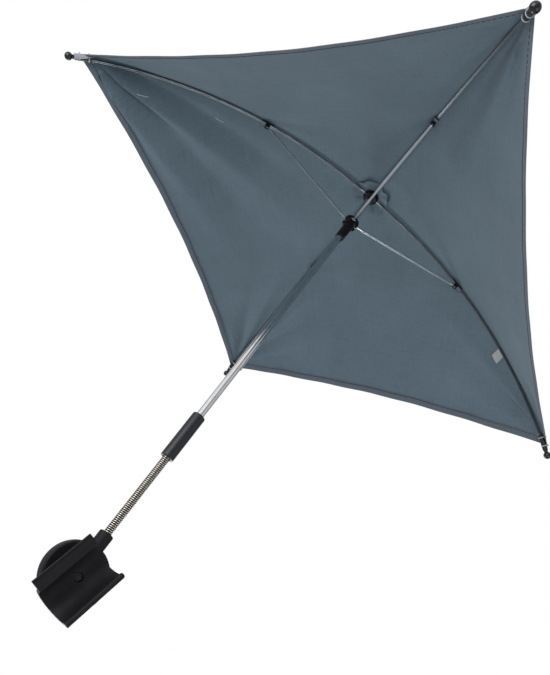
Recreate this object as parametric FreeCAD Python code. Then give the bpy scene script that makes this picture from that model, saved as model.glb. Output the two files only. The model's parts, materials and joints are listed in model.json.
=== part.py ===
"""Pram parasol: a push-on clip with a swivel disc, a gooseneck, a shaft and a square canopy that folds."""
import FreeCAD, Part
import math
import os

V = FreeCAD.Vector
ORIGIN = V(0, 0, 0)
X = V(1, 0, 0)
Y = V(0, 1, 0)
Z = V(0, 0, 1)

# Frame: millimetres, +Z up along the shaft, origin at the middle of the clip's bore axis.
# The clip opens towards -Y, and the shaft stands behind it. Pieces are drawn round the pivot's axis,
# and moved to that origin when they are saved.

# Clearances
running_gap = 0.05
press_gap = 0.02
slide_gap = 0.15
seat_gap = 0.3

# Clip that is pushed on the pram's tube
clip_bore_r = 20.0
clip_wall = 3.5
clip_length = 72.0
clip_wall_past_axis = 0.5
clip_flange_width = 13.5
clip_flange_thick = 3.6
clip_flange_step = 0.8
clip_flange_step_width = 2.6
clip_bead_r = 3.3
clip_bead_past_end = 3.0
clip_bead_round = 2.4
clip_boss_r = 13.0
clip_boss_height = 1.5
clip_rest_turn = 13.0
clip_low = 5.5

# Pivot between clip and swivel disc
pivot_shank_r = 2.5
pivot_head_r = 4.8
pivot_head_thick = 2.6
pivot_tip_past_nut = 0.7
pivot_drive_depth = 1.2
pivot_drive_width = 1.0
nut_across_flats = 8.0
nut_thick = 2.6
nut_recess_r = 5.2
nut_floor = 1.4
friction_washer_r = 11.0
friction_washer_thick = 1.0
spring_washer_r = 5.4
spring_washer_thick = 1.0

# Swivel disc with its radial socket
disc_r = 37.5
disc_thick = 16.0
disc_edge_round = 2.5
disc_wall = 3.0
disc_hub_r = 7.5
disc_rib_thick = 2.0
disc_rib_count = 6
cover_thick = 2.4
cover_seat = 1.6
collar_r = 8.7
collar_top = 55.0
collar_root = 22.0
collar_edge_round = 1.4

# Gooseneck: a wound steel tube round a bendable core
coil_r = 5.0
coil_wire = 1.9
coil_pitch = 2.4
coil_turns = 50
coil_end_bend_r = 2.0
coil_seat_depth = 9.0
coil_pocket_r = 6.0
core_r = 2.8
core_seat_depth = 5.0

# Coupling sleeve and shaft
sleeve_r = 8.5
sleeve_length = 67.0
sleeve_edge_round = 1.2
shaft_r = 5.0
shaft_wall = 0.8
shaft_seat_depth = 28.0
shaft_visible = 461.5

# Crown, runner and hinge circle
hinge_circle_r = 9.4
hinge_pin_r = 1.0
hinge_pin_half = 3.7
eye_r = 2.2
crown_r = 11.5
crown_below = 5.0
crown_edge_round = 1.5
runner_drop = 66.0
runner_head_r = 11.5
runner_head_above = 5.0
runner_head_below = 6.5
runner_head_round = 2.2
runner_tail_r = 6.8
runner_tail_length = 29.0
runner_notch_width = 5.0
runner_notch_depth = 5.0
runner_window_height = 16.0
runner_window_drop = 2.0
cap_r = 10.0
cap_height = 8.0
cap_skirt = 1.6
cap_spigot_length = 12.0

# Ribs and stretchers, pressed from sheet steel
rib_names = ("right", "rear", "left", "front")
rib_first_azimuth = -18.0
rib_reach = 440.0
rib_droop = 165.0
rib_bow = 45.0
rib_width = 2.8
rib_height = 2.4
rib_wall = 0.5
rib_tab_length = 7.5
rib_tab_overlap = 2.5
rib_end_short = 8.0
joint_reach = 187.0
joint_below_rib = 5.0
rib_clip_length = 20.0
rib_clip_side = 1.4
rib_clip_floor = 1.1
rib_clip_ear_half = 3.6
rib_clip_ear_below = 2.6
rivet_head_r = 1.8
rivet_head_thick = 0.6
stretcher_width = 3.0
stretcher_height = 1.8
stretcher_inner_tab = 10.5
stretcher_outer_tab = 7.0
tip_cap_r = 3.75
tip_cap_length = 31.0
tip_ball_r = 5.4
tip_neck_r = 2.9
tip_neck_length = 3.0
tip_closed_r = 16.0

# Spring catches in the shaft
top_catch_azimuth = -63.0
bottom_catch_azimuth = 27.0
catch_width = 2.0
catch_nose = 3.0
catch_ramp = 15.0
catch_block_depth = 2.4
catch_leaf_thick = 0.8
catch_leaf_width = 3.4
catch_leaf_length = 28.0

# Canopy, rosette and label
canopy_thick = 0.8
canopy_hole_r = 5.6
canopy_corner_short = 14.0
canopy_corner_half = 5.5
canopy_edge_sag = 20.5
canopy_hem_drop = 17.0
canopy_past_rib = 0.1
canopy_tip_rise = 70.0
canopy_profile_points = 18
rosette_r = 28.0
rosette_thick = 0.6
label_from_tip = 137.0
label_width = 15.0
label_length = 18.0
label_thick = 0.6

# Places worked out from the sizes above
clip_outer_r = clip_bore_r + clip_wall
clip_turn = math.radians(clip_rest_turn)
frame_shift = V(math.sin(clip_turn), 0, math.cos(clip_turn)) * clip_low
disc_front_y = clip_outer_r + clip_boss_height + friction_washer_thick
disc_back_y = disc_front_y + disc_thick
shaft_y = disc_front_y + disc_thick / 2
nut_seat_y = clip_outer_r + clip_boss_height - nut_floor
pivot_tip_y = nut_seat_y - nut_thick - pivot_tip_past_nut
head_seat_y = disc_back_y - cover_thick - pivot_head_thick
neck_visible = coil_turns * coil_pitch + 2 * (coil_end_bend_r + coil_wire) - 2 * coil_seat_depth
sleeve_bottom = collar_top + neck_visible
sleeve_top = sleeve_bottom + sleeve_length
crown_z = sleeve_top + shaft_visible
shaft_bore_r = shaft_r - shaft_wall
tab_half = rib_width / 2 - rib_wall
slot_half = tab_half + seat_gap
rosette_bottom = eye_r + seat_gap
crown_above = rosette_bottom - seat_gap
rosette_top = rosette_bottom + rosette_thick
canopy_centre_z = rosette_top + seat_gap
canopy_top_z = canopy_centre_z + canopy_thick
canopy_corner_r = rib_reach - canopy_corner_short
canopy_edge_mid = (canopy_corner_r + canopy_corner_half) / math.sqrt(2) - canopy_edge_sag
canopy_mid_reach = canopy_edge_mid * math.sqrt(2)
canopy_lifted_from = rib_reach - tip_cap_length
label_reach = rib_reach - label_from_tip


def tube_along(radius, start, end):
    """A round bar from one point to another."""
    axis = end - start
    return Part.makeCylinder(radius, axis.Length, start, axis)


def rounded(solid, radius, chosen):
    """The solid with every edge that the test chooses rounded."""
    return solid.makeFillet(radius, [e for e in solid.Edges if chosen(e)])


def is_circle(edge, radius, axis):
    """True for a full round edge of that radius about that direction."""
    curve = edge.Curve
    if not isinstance(curve, Part.Circle) or not edge.isClosed():
        return False
    return abs(curve.Radius - radius) < 1e-6 and abs(abs(curve.Axis.dot(axis)) - 1) < 1e-6


def at_crown(solid):
    """Moves a piece drawn round the crown's hinge centre to its place on the shaft."""
    moved = solid.copy()
    moved.translate(V(0, shaft_y, crown_z))
    return moved


def at_azimuth(solid, azimuth):
    """Turns a piece about the shaft's axis."""
    turned_piece = solid.copy()
    turned_piece.rotate(ORIGIN, Z, azimuth)
    return turned_piece


# Rib line: an arc in the plane y = 0, from the crown's hinge out to the middle of the ball tip
rib_start = V(hinge_circle_r, 0, 0)
rib_tip = V(rib_reach, 0, -rib_droop)
rib_chord = rib_tip - rib_start
chord_angle = math.atan2(rib_droop, rib_reach - hinge_circle_r)
rib_radius = (rib_chord.Length ** 2 / 4 + rib_bow ** 2) / (2 * rib_bow)
chord_up = V(math.sin(chord_angle), 0, math.cos(chord_angle))
rib_centre = (rib_start + rib_tip) * 0.5 - chord_up * (rib_radius - rib_bow)
rib_sweep = 2 * math.asin(rib_chord.Length / 2 / rib_radius)
rib_first_lean = math.asin((rib_start.x - rib_centre.x) / rib_radius)


def rib_up(turn):
    """The direction out of the rib's arc, after so many radians from its start."""
    lean = rib_first_lean + turn
    return V(math.sin(lean), 0, math.cos(lean))


def rib_along(turn):
    """The rib's own direction, outwards."""
    return Y.cross(rib_up(turn))


def rib_point(turn, height=0.0):
    """A point above the rib's centre line."""
    return rib_centre + rib_up(turn) * (rib_radius + height)


def rib_turn_at(reach):
    """How far along its arc the rib reaches a distance from the shaft."""
    return math.asin((reach - rib_centre.x) / rib_radius) - rib_first_lean


def rib_line_z(reach):
    """Height of the rib's centre line at a distance from the shaft."""
    return rib_centre.z + math.sqrt(rib_radius ** 2 - (reach - rib_centre.x) ** 2)


def swept_on_rib(outline, start_turn, end_turn):
    """A solid that carries an outline of (side, height) points along the rib's arc."""
    points = [rib_point(start_turn, height) + Y * side for side, height in outline]
    face = Part.Face(Part.makePolygon(points + [points[0]]))
    return face.revolve(rib_centre, Y, math.degrees(end_turn - start_turn))


def box_outline(half_width, low, high):
    """A rectangle of (side, height) points."""
    return [(-half_width, low), (half_width, low), (half_width, high), (-half_width, high)]


def channel_outline(width, height, wall):
    """A channel that opens downwards, as (side, height) points."""
    outer, inner = width / 2, width / 2 - wall
    top, roof, foot = height / 2, height / 2 - wall, -height / 2
    return [
        (-outer, foot), (-outer, top), (outer, top), (outer, foot),
        (inner, foot), (inner, roof), (-inner, roof), (-inner, foot),
    ]


def eye(centre, radius, half_thick):
    """A round flat eye across the rib's plane."""
    return Part.makeCylinder(radius, 2 * half_thick, centre - Y * half_thick, Y)


def strap(start, end, half_height, half_thick):
    """A flat bar in the rib's plane from one point to another."""
    along = (end - start).normalize()
    across = Y.cross(along) * half_height
    corners = [start - across, end - across, end + across, start + across]
    corners = [c - Y * half_thick for c in corners]
    return Part.Face(Part.makePolygon(corners + [corners[0]])).extrude(Y * 2 * half_thick)


# Hinge points of the fold, worked out at rest and closed
joint_turn = rib_turn_at(joint_reach)
joint_point = rib_point(joint_turn, -joint_below_rib)
runner_point = V(hinge_circle_r, 0, -runner_drop)
stretcher_length = (joint_point - runner_point).Length
closed_angle = math.acos((tip_closed_r - hinge_circle_r) / rib_chord.Length)
fold_angle = closed_angle - chord_angle
joint_closed = FreeCAD.Rotation(Y, math.degrees(fold_angle)).multVec(joint_point - rib_start) + rib_start
closed_drop = math.sqrt(stretcher_length ** 2 - (joint_closed.x - hinge_circle_r) ** 2) - joint_closed.z
runner_travel = closed_drop - runner_drop
lean_open = math.atan2(joint_point.z - runner_point.z, runner_point.x - joint_point.x)
lean_closed = math.atan2(joint_closed.z + closed_drop, hinge_circle_r - joint_closed.x)
stretcher_turn = lean_open - lean_closed + fold_angle


def clip_shell():
    """Half-round trough with a flat flange on one lip, a bead on the other and a flat boss behind."""
    low = -clip_low - clip_length / 2
    foot = -clip_wall_past_axis
    trough = Part.makeCylinder(clip_outer_r, clip_length, V(0, 0, low))
    behind = Part.makeBox(2 * clip_outer_r, clip_outer_r, clip_length, V(-clip_outer_r, 0, low))
    wall_size = (clip_wall, clip_wall_past_axis, clip_length)
    left_wall = Part.makeBox(*wall_size, V(-clip_outer_r, foot, low))
    right_wall = Part.makeBox(*wall_size, V(clip_bore_r, foot, low))
    flange = Part.makeBox(
        clip_flange_width, clip_flange_thick, clip_length, V(-clip_bore_r - clip_flange_width, foot, low)
    )
    step = Part.makeBox(
        clip_flange_step_width, clip_flange_step, clip_length, V(-clip_bore_r - clip_flange_width, foot, low)
    )
    bead = Part.makeCylinder(
        clip_bead_r, clip_length + clip_bead_past_end, V(clip_bore_r + clip_bead_r, foot, low)
    )
    bead = rounded(bead, clip_bead_round, lambda e: is_circle(e, clip_bead_r, Z) and e.CenterOfMass.z > -clip_low)
    boss = tube_along(clip_boss_r, V(0, clip_bore_r, 0), V(0, clip_outer_r + clip_boss_height, 0))
    shell = trough.common(behind).fuse([left_wall, right_wall, flange.cut(step), bead, boss])
    bore = Part.makeCylinder(clip_bore_r, clip_length, V(0, 0, low))
    mouth = Part.makeBox(
        2 * clip_bore_r, clip_wall_past_axis + clip_bead_r, clip_length, V(-clip_bore_r, foot - clip_bead_r, low)
    )
    recess = tube_along(nut_recess_r, ORIGIN, V(0, nut_seat_y, 0))
    hole = tube_along(pivot_shank_r + press_gap, ORIGIN, V(0, disc_front_y, 0))
    shell = shell.cut([bore, mouth, recess, hole]).removeSplitter()
    shell.rotate(ORIGIN, Y, clip_rest_turn)
    return shell


def pivot_nut():
    """Six-sided nut sunk in the floor of the trough."""
    corner_r = nut_across_flats / 2 / math.cos(math.pi / 6)
    corners = [
        V(corner_r * math.cos(k * math.pi / 3), nut_seat_y - nut_thick, corner_r * math.sin(k * math.pi / 3))
        for k in range(6)
    ]
    nut = Part.Face(Part.makePolygon(corners + [corners[0]])).extrude(Y * nut_thick)
    return nut.cut(tube_along(pivot_shank_r + press_gap, ORIGIN, V(0, disc_front_y, 0)))


def pivot_screw():
    """Pan-head screw from the back of the disc to the nut."""
    shank = tube_along(pivot_shank_r, V(0, pivot_tip_y, 0), V(0, head_seat_y, 0))
    shank = rounded(shank, pivot_shank_r / 4, lambda e: is_circle(e, pivot_shank_r, Y) and e.CenterOfMass.y < shaft_y)
    head = tube_along(pivot_head_r, V(0, head_seat_y, 0), V(0, head_seat_y + pivot_head_thick, 0))
    head = rounded(
        head, pivot_head_thick / 3,
        lambda e: is_circle(e, pivot_head_r, Y) and e.CenterOfMass.y > head_seat_y + pivot_head_thick / 2,
    )
    top = head_seat_y + pivot_head_thick - pivot_drive_depth
    slot = Part.makeBox(
        2 * pivot_head_r, pivot_drive_depth, pivot_drive_width, V(-pivot_head_r, top, -pivot_drive_width / 2)
    )
    return shank.fuse(head).cut(slot).removeSplitter()


def washer(outer_r, thick, start_y):
    """Flat ring on the pivot."""
    ring = tube_along(outer_r, V(0, start_y, 0), V(0, start_y + thick, 0))
    hole = tube_along(pivot_shank_r + slide_gap, V(0, start_y, 0), V(0, start_y + thick, 0))
    return ring.cut(hole)


def neck_pocket(mouth, direction):
    """The space for one end of the gooseneck, from its mouth inwards."""
    coil_floor = mouth + direction * coil_seat_depth
    core_floor = coil_floor + direction * core_seat_depth
    return tube_along(coil_pocket_r, mouth, coil_floor).fuse(tube_along(core_r + press_gap, mouth, core_floor))


def swivel_disc():
    """Round moulded cup with a radial socket for the gooseneck, open at the back."""
    cup = tube_along(disc_r, V(0, disc_front_y, 0), V(0, disc_back_y, 0))
    cup = rounded(cup, disc_edge_round, lambda e: is_circle(e, disc_r, Y))
    cavity_r = disc_r - disc_wall - cover_seat
    floor_y = disc_front_y + disc_wall
    cavity = tube_along(cavity_r, V(0, floor_y, 0), V(0, disc_back_y, 0))
    seat = tube_along(cavity_r + cover_seat, V(0, disc_back_y - cover_thick, 0), V(0, disc_back_y, 0))
    head_floor = head_seat_y - spring_washer_thick
    hub = tube_along(disc_hub_r, V(0, floor_y, 0), V(0, head_floor, 0))
    ribs = []
    rib_depth = disc_back_y - cover_thick - floor_y
    for k in range(disc_rib_count):
        rib = Part.makeBox(cavity_r, rib_depth, disc_rib_thick, V(0, floor_y, -disc_rib_thick / 2))
        rib = rib.cut(tube_along(disc_hub_r, V(0, floor_y, 0), V(0, disc_back_y, 0)))
        rib.rotate(ORIGIN, Y, k * 360 / disc_rib_count)
        ribs.append(rib)
    collar = tube_along(collar_r, V(0, shaft_y, collar_root), V(0, shaft_y, collar_top))
    collar = rounded(collar, collar_edge_round, lambda e: is_circle(e, collar_r, Z) and e.CenterOfMass.z > disc_r)
    inside_cover = tube_along(disc_r, V(0, 0, 0), V(0, disc_back_y - cover_thick, 0))
    inner_collar = collar.common(inside_cover)
    outer_collar = collar.cut(tube_along(disc_r - disc_wall, V(0, 0, 0), V(0, 2 * disc_back_y, 0)))
    body = cup.cut([cavity, seat]).fuse([hub] + ribs + [inner_collar, outer_collar])
    hole = tube_along(pivot_shank_r + running_gap, V(0, 0, 0), V(0, disc_back_y, 0))
    pocket = neck_pocket(V(0, shaft_y, collar_top), -Z)
    return body.cut([hole, pocket]).removeSplitter()


def disc_cover():
    """Round plate that closes the back of the disc round the screw head."""
    cover_r = disc_r - disc_wall - press_gap
    plate = tube_along(cover_r, V(0, disc_back_y - cover_thick, 0), V(0, disc_back_y, 0))
    plate = rounded(
        plate, cover_thick / 3, lambda e: is_circle(e, cover_r, Y) and e.CenterOfMass.y > disc_back_y - cover_thick / 2
    )
    return plate.cut(tube_along(pivot_head_r + 4 * slide_gap, V(0, disc_front_y, 0), V(0, disc_back_y, 0)))


def biarc(start, start_along, end, end_along):
    """Two arcs that join two points with given unit directions smoothly."""
    span = end - start
    both = start_along + end_along
    a = 2 * (start_along.dot(end_along) - 1)
    b = -2 * span.dot(both)
    c = span.dot(span)
    reach = (-b - math.sqrt(b * b - 4 * a * c)) / (2 * a)
    first_corner = start + start_along * reach
    last_corner = end - end_along * reach
    middle = (first_corner + last_corner) * 0.5
    return [arc_by_corner(start, first_corner, middle), arc_by_corner(middle, last_corner, end)]


def arc_by_corner(start, corner, end):
    """The arc that leaves its start towards the corner and meets the corner's other side at its end."""
    chord_middle = (start + end) * 0.5
    half = (end - start).Length / 2
    lean = math.acos(half / (corner - start).Length)
    top = chord_middle + (corner - chord_middle).normalize() * (half * math.tan(lean / 2))
    return Part.Arc(start, top, end)


coil_mean_r = coil_r - coil_wire / 2
coil_low_z = collar_top - coil_seat_depth + coil_end_bend_r + coil_wire
coil_high_z = coil_low_z + coil_turns * coil_pitch


def coil_point(turns):
    """Centre of the wire after so many turns."""
    angle = 2 * math.pi * turns
    side = V(math.cos(angle), math.sin(angle), 0) * coil_mean_r
    return V(0, shaft_y, coil_low_z + coil_pitch * turns) + side


def coil_along(turns):
    """The wire's direction after so many turns."""
    angle = 2 * math.pi * turns
    rise = V(0, 0, coil_pitch / (2 * math.pi))
    return (V(-math.sin(angle), math.cos(angle), 0) * coil_mean_r + rise).normalize()


def coil_end_arc(turns, leaving):
    """The bend that turns the wire's end along the neck's axis, and the straight run past it."""
    edge_point = coil_point(turns)
    along = coil_along(turns) * (1 if leaving else -1)
    axial = Z if leaving else -Z
    turn = along.getAngle(axial)
    corner = edge_point + along * (coil_end_bend_r * math.tan(turn / 2))
    bend_end = corner + axial * (coil_end_bend_r * math.tan(turn / 2))
    floor_z = coil_high_z + coil_end_bend_r + coil_wire if leaving else collar_top - coil_seat_depth
    straight_end = V(bend_end.x, bend_end.y, floor_z)
    return edge_point, corner, bend_end, straight_end


def gooseneck_coil():
    """One unbroken wound wire whose ends stand square on the floors of their pockets."""
    edges = []
    for half_turn in range(2 * coil_turns):
        first, last = half_turn / 2, (half_turn + 1) / 2
        for arc in biarc(coil_point(first), coil_along(first), coil_point(last), coil_along(last)):
            edges.append(arc.toShape())
    start, corner, bend_end, straight_end = coil_end_arc(0, False)
    edges.insert(0, arc_by_corner(bend_end, corner, start).toShape())
    edges.insert(0, Part.LineSegment(straight_end, bend_end).toShape())
    wire_foot = straight_end
    start, corner, bend_end, straight_end = coil_end_arc(coil_turns, True)
    edges.append(arc_by_corner(start, corner, bend_end).toShape())
    edges.append(Part.LineSegment(bend_end, straight_end).toShape())
    path = Part.Wire(edges)
    profile = Part.Wire([Part.Circle(wire_foot, Z, coil_wire / 2).toShape()])
    shell = Part.BRepOffsetAPI.MakePipeShell(path)
    shell.add(profile)
    shell.build()
    shell.makeSolid()
    coil = shell.shape()
    print("coil volume over section times length", coil.Volume / (math.pi * coil_wire ** 2 / 4 * path.Length))
    print("coil least gap to itself", coil_least_gap())
    return coil


def coil_least_gap():
    """Least clear distance between one turn and the next, measured on points of the centre line."""
    steps = 48
    gaps = []
    for k in range(steps):
        here = coil_point(1 + k / steps)
        for m in range(-steps // 4, steps // 4 + 1):
            gaps.append((coil_point(2 + (k + m) / steps) - here).Length - coil_wire)
    return min(gaps)


def gooseneck_core():
    """Bendable rod inside the winding."""
    low = collar_top - coil_seat_depth - core_seat_depth
    high = sleeve_bottom + coil_seat_depth + core_seat_depth
    return tube_along(core_r, V(0, shaft_y, low), V(0, shaft_y, high))


def coupling_sleeve():
    """Moulded sleeve that joins the gooseneck to the shaft."""
    low = V(0, shaft_y, sleeve_bottom)
    high = V(0, shaft_y, sleeve_top)
    body = rounded(tube_along(sleeve_r, low, high), sleeve_edge_round, lambda e: is_circle(e, sleeve_r, Z))
    shaft_bore = tube_along(shaft_r + press_gap, high - Z * shaft_seat_depth, high)
    return body.cut([neck_pocket(low, Z), shaft_bore])


def catch_blade(shoulder_drop, ramp_sign, azimuth):
    """Spring catch: a three-cornered nose through the shaft's slot, on a leaf inside the shaft."""
    half = catch_width / 2
    inner = shaft_r - catch_block_depth
    tip = shaft_r + catch_nose
    ramp_end = -shoulder_drop - ramp_sign * catch_ramp
    outline = [
        V(inner, -half, -shoulder_drop), V(tip, -half, -shoulder_drop),
        V(tip, -half, -shoulder_drop - ramp_sign * catch_nose / 2),
        V(shaft_r, -half, ramp_end), V(inner, -half, ramp_end),
    ]
    nose = Part.Face(Part.makePolygon(outline + [outline[0]])).extrude(Y * catch_width)
    leaf_low = min(-shoulder_drop, -shoulder_drop - ramp_sign * catch_leaf_length)
    leaf = Part.makeBox(
        catch_leaf_thick, catch_leaf_width, catch_leaf_length, V(inner, -catch_leaf_width / 2, leaf_low)
    )
    return at_crown(at_azimuth(nose.fuse(leaf).removeSplitter(), azimuth))


top_catch_drop = runner_drop + runner_head_below + runner_tail_length - runner_notch_depth + seat_gap
bottom_catch_drop = closed_drop + runner_head_below + runner_window_drop + runner_window_height - slide_gap


def catch_slot(shoulder_drop, ramp_sign, azimuth):
    """The slot that a catch's nose comes through, drawn round the crown's hinge centre."""
    ends = sorted((-shoulder_drop + ramp_sign * slide_gap, -shoulder_drop - ramp_sign * (catch_ramp + slide_gap)))
    width = catch_width + 2 * slide_gap
    slot = Part.makeBox(2 * shaft_r, width, ends[1] - ends[0], V(0, -width / 2, ends[0]))
    return at_azimuth(slot, azimuth)


def shaft_tube():
    """Chromed tube from inside the sleeve to the crown, with two catch slots."""
    low = -shaft_visible - shaft_seat_depth
    outer = tube_along(shaft_r, V(0, 0, low), V(0, 0, canopy_top_z))
    bore = tube_along(shaft_bore_r, V(0, 0, low), V(0, 0, canopy_top_z))
    slots = [
        catch_slot(top_catch_drop, 1, top_catch_azimuth),
        catch_slot(bottom_catch_drop, -1, bottom_catch_azimuth),
    ]
    return at_crown(outer.cut([bore] + slots))


def rib_azimuths():
    """Names of the four ribs with their directions."""
    return [(name, rib_first_azimuth + 90 * k) for k, name in enumerate(rib_names)]


def hinge_cut(low, high, outward_r):
    """Radial slot for one flat eye."""
    inner_r = hinge_circle_r - eye_r - seat_gap
    return Part.makeBox(outward_r - inner_r, 2 * slot_half, high - low, V(inner_r, -slot_half, low))


def crown():
    """Notched plastic hub that carries the four rib hinges."""
    hub = Part.makeCylinder(crown_r, crown_above + crown_below, V(0, 0, -crown_below))
    hub = rounded(hub, crown_edge_round, lambda e: is_circle(e, crown_r, Z) and e.CenterOfMass.z < 0)
    cuts = [tube_along(shaft_r + press_gap, V(0, 0, -crown_below), V(0, 0, crown_above))]
    for name, azimuth in rib_azimuths():
        cuts.append(at_azimuth(hinge_cut(-crown_below, crown_above, crown_r), azimuth))
        cuts.append(at_azimuth(eye(rib_start, hinge_pin_r, hinge_pin_half), azimuth))
    return at_crown(hub.cut(cuts))


def crown_pins():
    """Four hinge pins across the crown's notches."""
    pins = [at_azimuth(eye(rib_start, hinge_pin_r, hinge_pin_half), a) for name, a in rib_azimuths()]
    return at_crown(Part.makeCompound(pins))


def top_cap():
    """Domed cap over the canopy's middle, with a spigot in the shaft."""
    low = canopy_top_z + seat_gap
    dome_r = (cap_r ** 2 + (cap_height - cap_skirt) ** 2) / (2 * (cap_height - cap_skirt))
    skirt_top = V(cap_r, 0, low + cap_skirt)
    peak = V(0, 0, low + cap_height)
    half_turn = math.asin(cap_r / dome_r) / 2
    dome_low = low + cap_height - dome_r
    on_dome = V(dome_r * math.sin(half_turn), 0, dome_low + dome_r * math.cos(half_turn))
    spigot_r = shaft_bore_r - press_gap
    corners = [
        peak, V(0, 0, canopy_top_z - cap_spigot_length), V(spigot_r, 0, canopy_top_z - cap_spigot_length),
        V(spigot_r, 0, low), V(cap_r, 0, low), skirt_top,
    ]
    edges = [Part.LineSegment(a, b).toShape() for a, b in zip(corners, corners[1:])]
    edges.append(Part.Arc(skirt_top, on_dome, peak).toShape())
    return at_crown(Part.Face(Part.Wire(edges)).revolve(ORIGIN, Z, 360))


def runner():
    """Sliding collar: a notched head whose bearings are open below, and a tail with a notch and a window."""
    head_low = -runner_drop - runner_head_below
    head_high = -runner_drop + runner_head_above
    tail_low = head_low - runner_tail_length
    head = tube_along(runner_head_r, V(0, 0, head_low), V(0, 0, head_high))
    head = rounded(head, runner_head_round, lambda e: is_circle(e, runner_head_r, Z))
    tail = tube_along(runner_tail_r, V(0, 0, tail_low), V(0, 0, head_high))
    cuts = [tube_along(shaft_r + slide_gap, V(0, 0, tail_low), V(0, 0, head_high))]
    bearing_half = hinge_pin_half + seat_gap
    bearing_top = -runner_drop + hinge_pin_r + running_gap
    bearing_in = hinge_circle_r - hinge_pin_r - seat_gap
    for name, azimuth in rib_azimuths():
        cuts.append(at_azimuth(hinge_cut(head_low, head_high, runner_head_r), azimuth))
        bearing = Part.makeBox(
            runner_head_r - bearing_in, 2 * bearing_half, bearing_top - head_low, V(bearing_in, -bearing_half, head_low)
        )
        cuts.append(at_azimuth(bearing, azimuth))
    notch = [
        V(0, -runner_notch_width / 2, tail_low), V(0, runner_notch_width / 2, tail_low),
        V(0, catch_width / 2 + slide_gap, tail_low + runner_notch_depth),
        V(0, -catch_width / 2 - slide_gap, tail_low + runner_notch_depth),
    ]
    notch = Part.Face(Part.makePolygon(notch + [notch[0]])).extrude(X * 2 * runner_tail_r)
    window_width = catch_width + 4 * slide_gap
    window_low = head_low - runner_window_drop - runner_window_height
    window = Part.makeBox(
        2 * runner_tail_r, window_width, runner_window_height, V(0, -window_width / 2, window_low)
    )
    cuts += [at_azimuth(notch, top_catch_azimuth), at_azimuth(window, bottom_catch_azimuth)]
    return at_crown(head.fuse(tail).cut(cuts).removeSplitter())


def rib():
    """Sheet-steel channel on an arc, with a flat eye at its inner end."""
    channel = swept_on_rib(
        channel_outline(rib_width, rib_height, rib_wall),
        rib_tab_length / rib_radius, rib_sweep - rib_end_short / rib_radius,
    )
    tab_high = rib_height / 2 - rib_wall
    tab_end = (rib_tab_length + rib_tab_overlap) / rib_radius
    tab = swept_on_rib(box_outline(tab_half, -tab_high, tab_high), 0, tab_end)
    tab = tab.fuse(eye(rib_start, eye_r, tab_half))
    hole = eye(rib_start, hinge_pin_r + running_gap, rib_width)
    return channel.fuse(tab).cut(hole).removeSplitter()


def rib_room(start_turn, end_turn):
    """The space that a rib fills inside a moulded piece."""
    foot = -rib_height / 2 - running_gap
    return swept_on_rib(box_outline(rib_width / 2 + running_gap, foot, rib_height), start_turn, end_turn)


def rib_clip():
    """Moulded saddle under the rib with two ears for the stretcher."""
    half_turn = rib_clip_length / 2 / rib_radius
    half_width = rib_width / 2 + rib_clip_side
    floor = -rib_height / 2 - rib_clip_floor
    saddle = swept_on_rib(
        box_outline(half_width, floor, rib_height / 2), joint_turn - half_turn, joint_turn + half_turn
    )
    ear_turn = rib_clip_ear_half / rib_radius
    ears = swept_on_rib(
        box_outline(half_width, -joint_below_rib, floor), joint_turn - ear_turn, joint_turn + ear_turn
    )
    ears = ears.fuse(eye(joint_point, rib_clip_ear_half, half_width))
    gap = swept_on_rib(
        box_outline(slot_half, -joint_below_rib - 2 * rib_clip_ear_half, floor),
        joint_turn - 2 * half_turn, joint_turn + 2 * half_turn,
    )
    above = swept_on_rib(
        box_outline(2 * half_width, floor, rib_height), joint_turn - half_turn, joint_turn + half_turn
    )
    room = rib_room(joint_turn - 2 * half_turn, joint_turn + 2 * half_turn)
    hole = eye(joint_point, hinge_pin_r, 2 * half_width)
    return saddle.fuse(ears.cut([gap, above])).cut([room, hole]).removeSplitter()


def rib_rivet():
    """Headed pin through the rib clip's ears."""
    half = rib_width / 2 + rib_clip_side
    pin = eye(joint_point, hinge_pin_r, half + rivet_head_thick)
    heads = eye(joint_point, rivet_head_r, half + rivet_head_thick).cut(eye(joint_point, rivet_head_r, half))
    return pin.fuse(heads).removeSplitter()


def tip_cap():
    """Moulded end of a rib: a round body, a neck and a ball."""
    along = rib_along(rib_sweep)
    back = rib_tip - along * tip_cap_length
    ball_back = rib_tip - along * math.sqrt(tip_ball_r ** 2 - tip_neck_r ** 2)
    neck_back = ball_back - along * tip_neck_length
    body = tube_along(tip_cap_r, back, neck_back)
    body = rounded(body, tip_cap_r / 4, lambda e: is_circle(e, tip_cap_r, along))
    neck = tube_along(tip_neck_r, neck_back, rib_tip)
    ball = Part.makeSphere(tip_ball_r, rib_tip)
    cap = body.fuse([neck, ball])
    past = tip_cap_length / rib_radius
    end_turn = rib_sweep - (rib_end_short - running_gap) / rib_radius
    foot = -rib_height / 2 - running_gap
    half_width = rib_width / 2 + running_gap
    room = swept_on_rib(box_outline(half_width, foot, -foot), rib_sweep - 2 * past, end_turn)
    return cap.cut(room).removeSplitter()


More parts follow.
